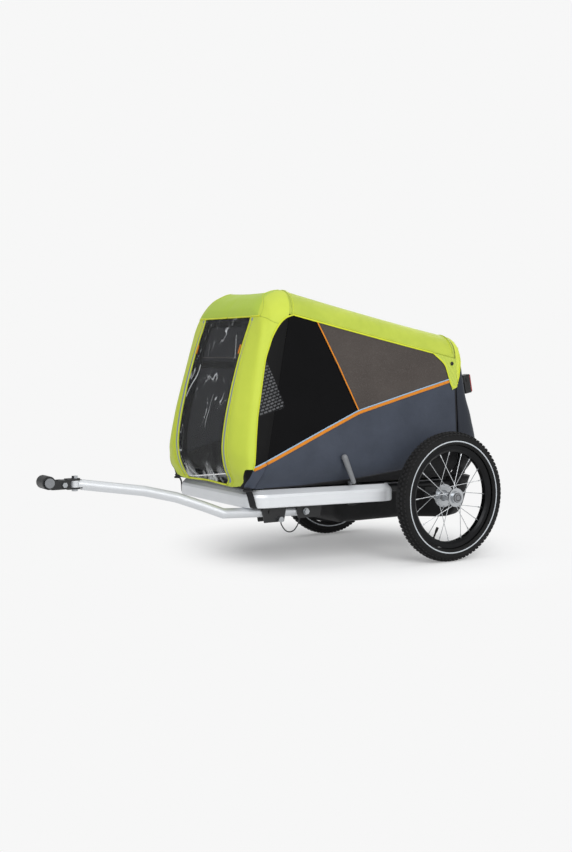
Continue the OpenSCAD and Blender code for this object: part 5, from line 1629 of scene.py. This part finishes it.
class TRAILER_OT_lamp(TrailerOperator, bpy.types.Operator):
    """Tail lamp: black housing and red prismatic lens"""
    bl_idname = "trailer.lamp"
    bl_label = "Tail lamp"

    def execute(self, context):
        housing = [lamp_block("Housing", (25, 26, 60), (12.8, 0, 30), 4, "black_plastic"),
                   lamp_block("Bezel", (5, 26, 60), (23.4, 0, 30), 2.2, "black_plastic"),
                   lamp_block("Switch", (7, 5, 12), (12, -12.4, 44), 1.4, "black_plastic"),
                   lamp_block("Clip", (9, 22, 18), (2.2, 0, 46), 2.0, "black_plastic")]
        for j in range(4):
            housing.append(lamp_block("Rib", (14, 1.2, 2), (12, -12.9, 12 + 6 * j), 0.4, "black_plastic", 2))
        body = join("LampHousing", housing)
        lens = lamp_block("LampLens", (5, 22, 56), (28.7, 0, 30), 2.2, "lens")
        for obj, node, slot in ((body, "tail_lamp_body", "black_plastic"), (lens, "tail_lamp_lens", "lens")):
            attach(obj, "rear_frame")
            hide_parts(node)
        return {"FINISHED"}


TUB_Z, TUB_TOP, TUB_REAR_TOP = 112.0, 210.7, 245.0
# The tub's cross sections: x, lower and upper height, lower and upper half width, corner radius.
TUB_STATIONS = (
    (-288, TUB_TOP - 22, TUB_TOP, 114, 165, 8), (-276, 136, TUB_TOP, 118, 165, 20),
    (-254, TUB_Z, TUB_TOP, 122, 166, 26), (0, TUB_Z, TUB_TOP, 122, 168, 26),
    (85, TUB_Z, TUB_TOP, 197, 206, 34), (107, TUB_Z, TUB_TOP, 205, 214, 34),
    (108, TUB_Z, TUB_REAR_TOP, 205, 250, 34), (150, 114, TUB_REAR_TOP, 197, 244, 40),
    (182, 120, TUB_REAR_TOP, 171, 214, 44), (196, 134, TUB_REAR_TOP, 143, 178, 44),
    (202, 156, 244, 115, 140, 40),
)


def tub_section(low, high, low_hw, high_hw, r):
    """A U of (y, z) points: down the left side, round the corner, along the floor and up again."""
    a, b, c, d = (Vector(p) for p in ((-high_hw, high), (-low_hw, low), (low_hw, low), (high_hw, high)))

    def back_from(corner, towards):
        return corner + (towards - corner).normalized() * r

    def rounded(p, corner, q):
        return [p * (1 - t) ** 2 + corner * 2 * t * (1 - t) + q * t * t for t in spread(0, 1, 8)]

    side_l, floor_l, floor_r, side_r = back_from(b, a), back_from(b, c), back_from(c, b), back_from(c, d)
    return ([a.lerp(side_l, i / 9) for i in range(9)] + rounded(side_l, b, floor_l)
            + [floor_l.lerp(floor_r, i / 20) for i in range(1, 20)] + rounded(floor_r, c, side_r)
            + [side_r.lerp(d, i / 9) for i in range(1, 10)])


class TRAILER_OT_tub(TrailerOperator, bpy.types.Operator):
    """Belly tub: black cloth hung under the floor frame"""
    bl_idname = "trailer.tub"
    bl_label = "Belly tub"

    def ring(self, x, low, high, low_hw, high_hw, r):
        """One cross section of the tub in the frame, with the cloth's dents."""
        out = []
        from_end = min(x - TUB_STATIONS[0][0], TUB_STATIONS[-1][0] - x)
        for y, z in tub_section(low, high, low_hw, high_hw, r):
            free = smooth(0, 26, high - z) * smooth(0, 20, from_end)
            dent = 2.2 * noise.noise(Vector((x * 0.014, y * 0.012, z * 0.02)))
            dent += 0.9 * noise.noise(Vector((x * 0.05, y * 0.03, z * 0.05)))
            out.append(at_axle(x, y * (1 + (dent - 1.6) * free / 200), z + max(-dent * 0.4, 0) * free))
        return out

    def execute(self, context):
        rows = []
        for a, b in zip(TUB_STATIONS, TUB_STATIONS[1:]):
            n = max(1, int((b[0] - a[0]) / 14))
            for i in range(n + (b is TUB_STATIONS[-1])):
                rows.append(self.ring(*[lerp(p, q, i / n) for p, q in zip(a, b)]))
        pieces = [close_ends(grid("BellyTub", rows, "black_cloth", closed=True))]
        # Binding along the tub's upper edges, under the floor frame's tubes.
        edge = [(station[0], station[4] + 1.0) for station in TUB_STATIONS[:6]]
        for s in (-1, 1):
            line = [at_axle(x, s * lookup(x, edge), TUB_TOP - 5) for x in range(-280, 105, 12)]
            pieces.append(tube("Hem", line, 0.003, "webbing", sides=8, flat=0.6))
        obj = join("BellyTub", pieces)
        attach(obj, "frame")
        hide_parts("belly_tub")
        return {"FINISHED"}


RAIL_TOP, RAIL_HEIGHT, RAIL_CORNER_R, STRAP_WIDTH = 247.0, 51.0, 64.0, 20.0
STRAP_TURN = math.radians(219)
CORNER_AXIS = Vector((-652 + RAIL_CORNER_R, -173, 0))
OUTWARDS = Vector((math.cos(STRAP_TURN), math.sin(STRAP_TURN), 0))
SIDEWAYS = Vector((-OUTWARDS.y, OUTWARDS.x, 0))
# The buckle's bars: place outwards and sideways, and size.
BUCKLE_BARS = ((7.5, 0, (5, 26, 6)), (19, 0, (5, 26, 6)), (13, 11, (15, 4, 6)), (13, -11, (15, 4, 6)),
               (13, 0, (3, 22, 4.5)))


def corner_point(out, z, aside):
    """A point by the rail's left corner: outwards from the corner's axis, up, and aside."""
    return at_axle(*(CORNER_AXIS + OUTWARDS * out + SIDEWAYS * aside + UP * z))


class TRAILER_OT_straps(TrailerOperator, bpy.types.Operator):
    """Corner straps with their buckles, which hold the cover down to the rail"""
    bl_idname = "trailer.straps"
    bl_label = "Corner straps"

    def strap(self):
        r, top, low = RAIL_CORNER_R + 0.6, RAIL_TOP, RAIL_TOP - RAIL_HEIGHT - 0.8
        path = [(r + 19, top + 10), (r + 17, top + 3), (r + 6, top + 0.5), (r + 0.6, top - 12),
                (r + 0.6, low + 3), (r - 4, low), (r - 14, low)]
        # The strap runs slantwise, its lower end further back.
        line = [corner_point(p.x + 1, p.y, lerp(-5, 9, clamp((top - p.y) / RAIL_HEIGHT)))
                for p in resample(path, 3.0)]
        return tube("Strap", line, STRAP_WIDTH / 2 * MM, "webbing", sides=12, flat=0.09,
                    up=[SIDEWAYS] * len(line))

    def buckle(self):
        bars = []
        for out, aside, size in BUCKLE_BARS:
            at = corner_point(RAIL_CORNER_R + 0.6 + out, RAIL_TOP + 0.8, aside - 4)
            place = Matrix.Translation(at) @ Matrix.Rotation(STRAP_TURN, 4, "Z")
            bars.append(box_part("Buckle", [v * MM for v in size], place, 1.6 * MM, "black_plastic", 3))
        return bars

    def execute(self, context):
        left = join("CornerStrap_left", [self.strap()] + self.buckle())
        right = mirror_object(left, "CornerStrap_right")
        for obj, side in ((left, "left"), (right, "right")):
            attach(obj, "frame")
            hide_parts("corner_strap_" + side)
        return {"FINISHED"}


class TRAILER_OT_button_rings(TrailerOperator, bpy.types.Operator):
    """Dark ring round the face of each hub button"""
    bl_idname = "trailer.button_rings"
    bl_label = "Hub button rings"

    def execute(self, context):
        for side, s in (("left", -1), ("right", 1)):
            c = centre("hub_button_" + side)
            lo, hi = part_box("hub_button_" + side)
            face = (lo.y if s < 0 else hi.y) - s * 0.0002
            circle = [Vector((c.x + 0.009 * math.cos(t), face, c.z + 0.009 * math.sin(t)))
                      for t in round_angles(32)]
            ring = tube("ButtonRing_" + side, circle, 0.0011, "black_plastic", sides=8, closed=True)
            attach(ring, "hub_release_" + side)
        return {"FINISHED"}


class TRAILER_PT_panel(bpy.types.Panel):
    bl_label = "Trailer"
    bl_idname = "TRAILER_PT_panel"
    bl_space_type = "VIEW_3D"
    bl_region_type = "UI"
    bl_category = "Trailer"

    def draw(self, context):
        layout = self.layout
        scene = context.scene
        for values in (scene.trailer_sizes, scene.trailer_colours):
            for key in values.bl_rna.properties.keys():
                if key not in ("rna_type", "name"):
                    layout.prop(values, key)
        for cls in OPERATORS:
            layout.operator(cls.bl_idname)


OPERATORS = (TRAILER_OT_stage, TRAILER_OT_lanyard, TRAILER_OT_finishes, TRAILER_OT_tyres,
             TRAILER_OT_canopy, TRAILER_OT_hood, TRAILER_OT_sides, TRAILER_OT_window, TRAILER_OT_rear,
             TRAILER_OT_lamp, TRAILER_OT_tub, TRAILER_OT_straps, TRAILER_OT_button_rings)
CLASSES = (TrailerSizes, TrailerColours) + OPERATORS + (TRAILER_PT_panel,)


def register():
    for cls in CLASSES:
        bpy.utils.register_class(cls)
    bpy.types.Scene.trailer_sizes = PointerProperty(type=TrailerSizes)
    bpy.types.Scene.trailer_colours = PointerProperty(type=TrailerColours)


def unregister():
    del bpy.types.Scene.trailer_sizes
    del bpy.types.Scene.trailer_colours
    for cls in reversed(CLASSES):
        bpy.utils.unregister_class(cls)


def main():
    register()
    make_finishes(bpy.context.scene.trailer_colours)
    for cls in OPERATORS:
        place, name = cls.bl_idname.split(".")
        getattr(getattr(bpy.ops, place), name)()


if __name__ == "__main__":
    main()
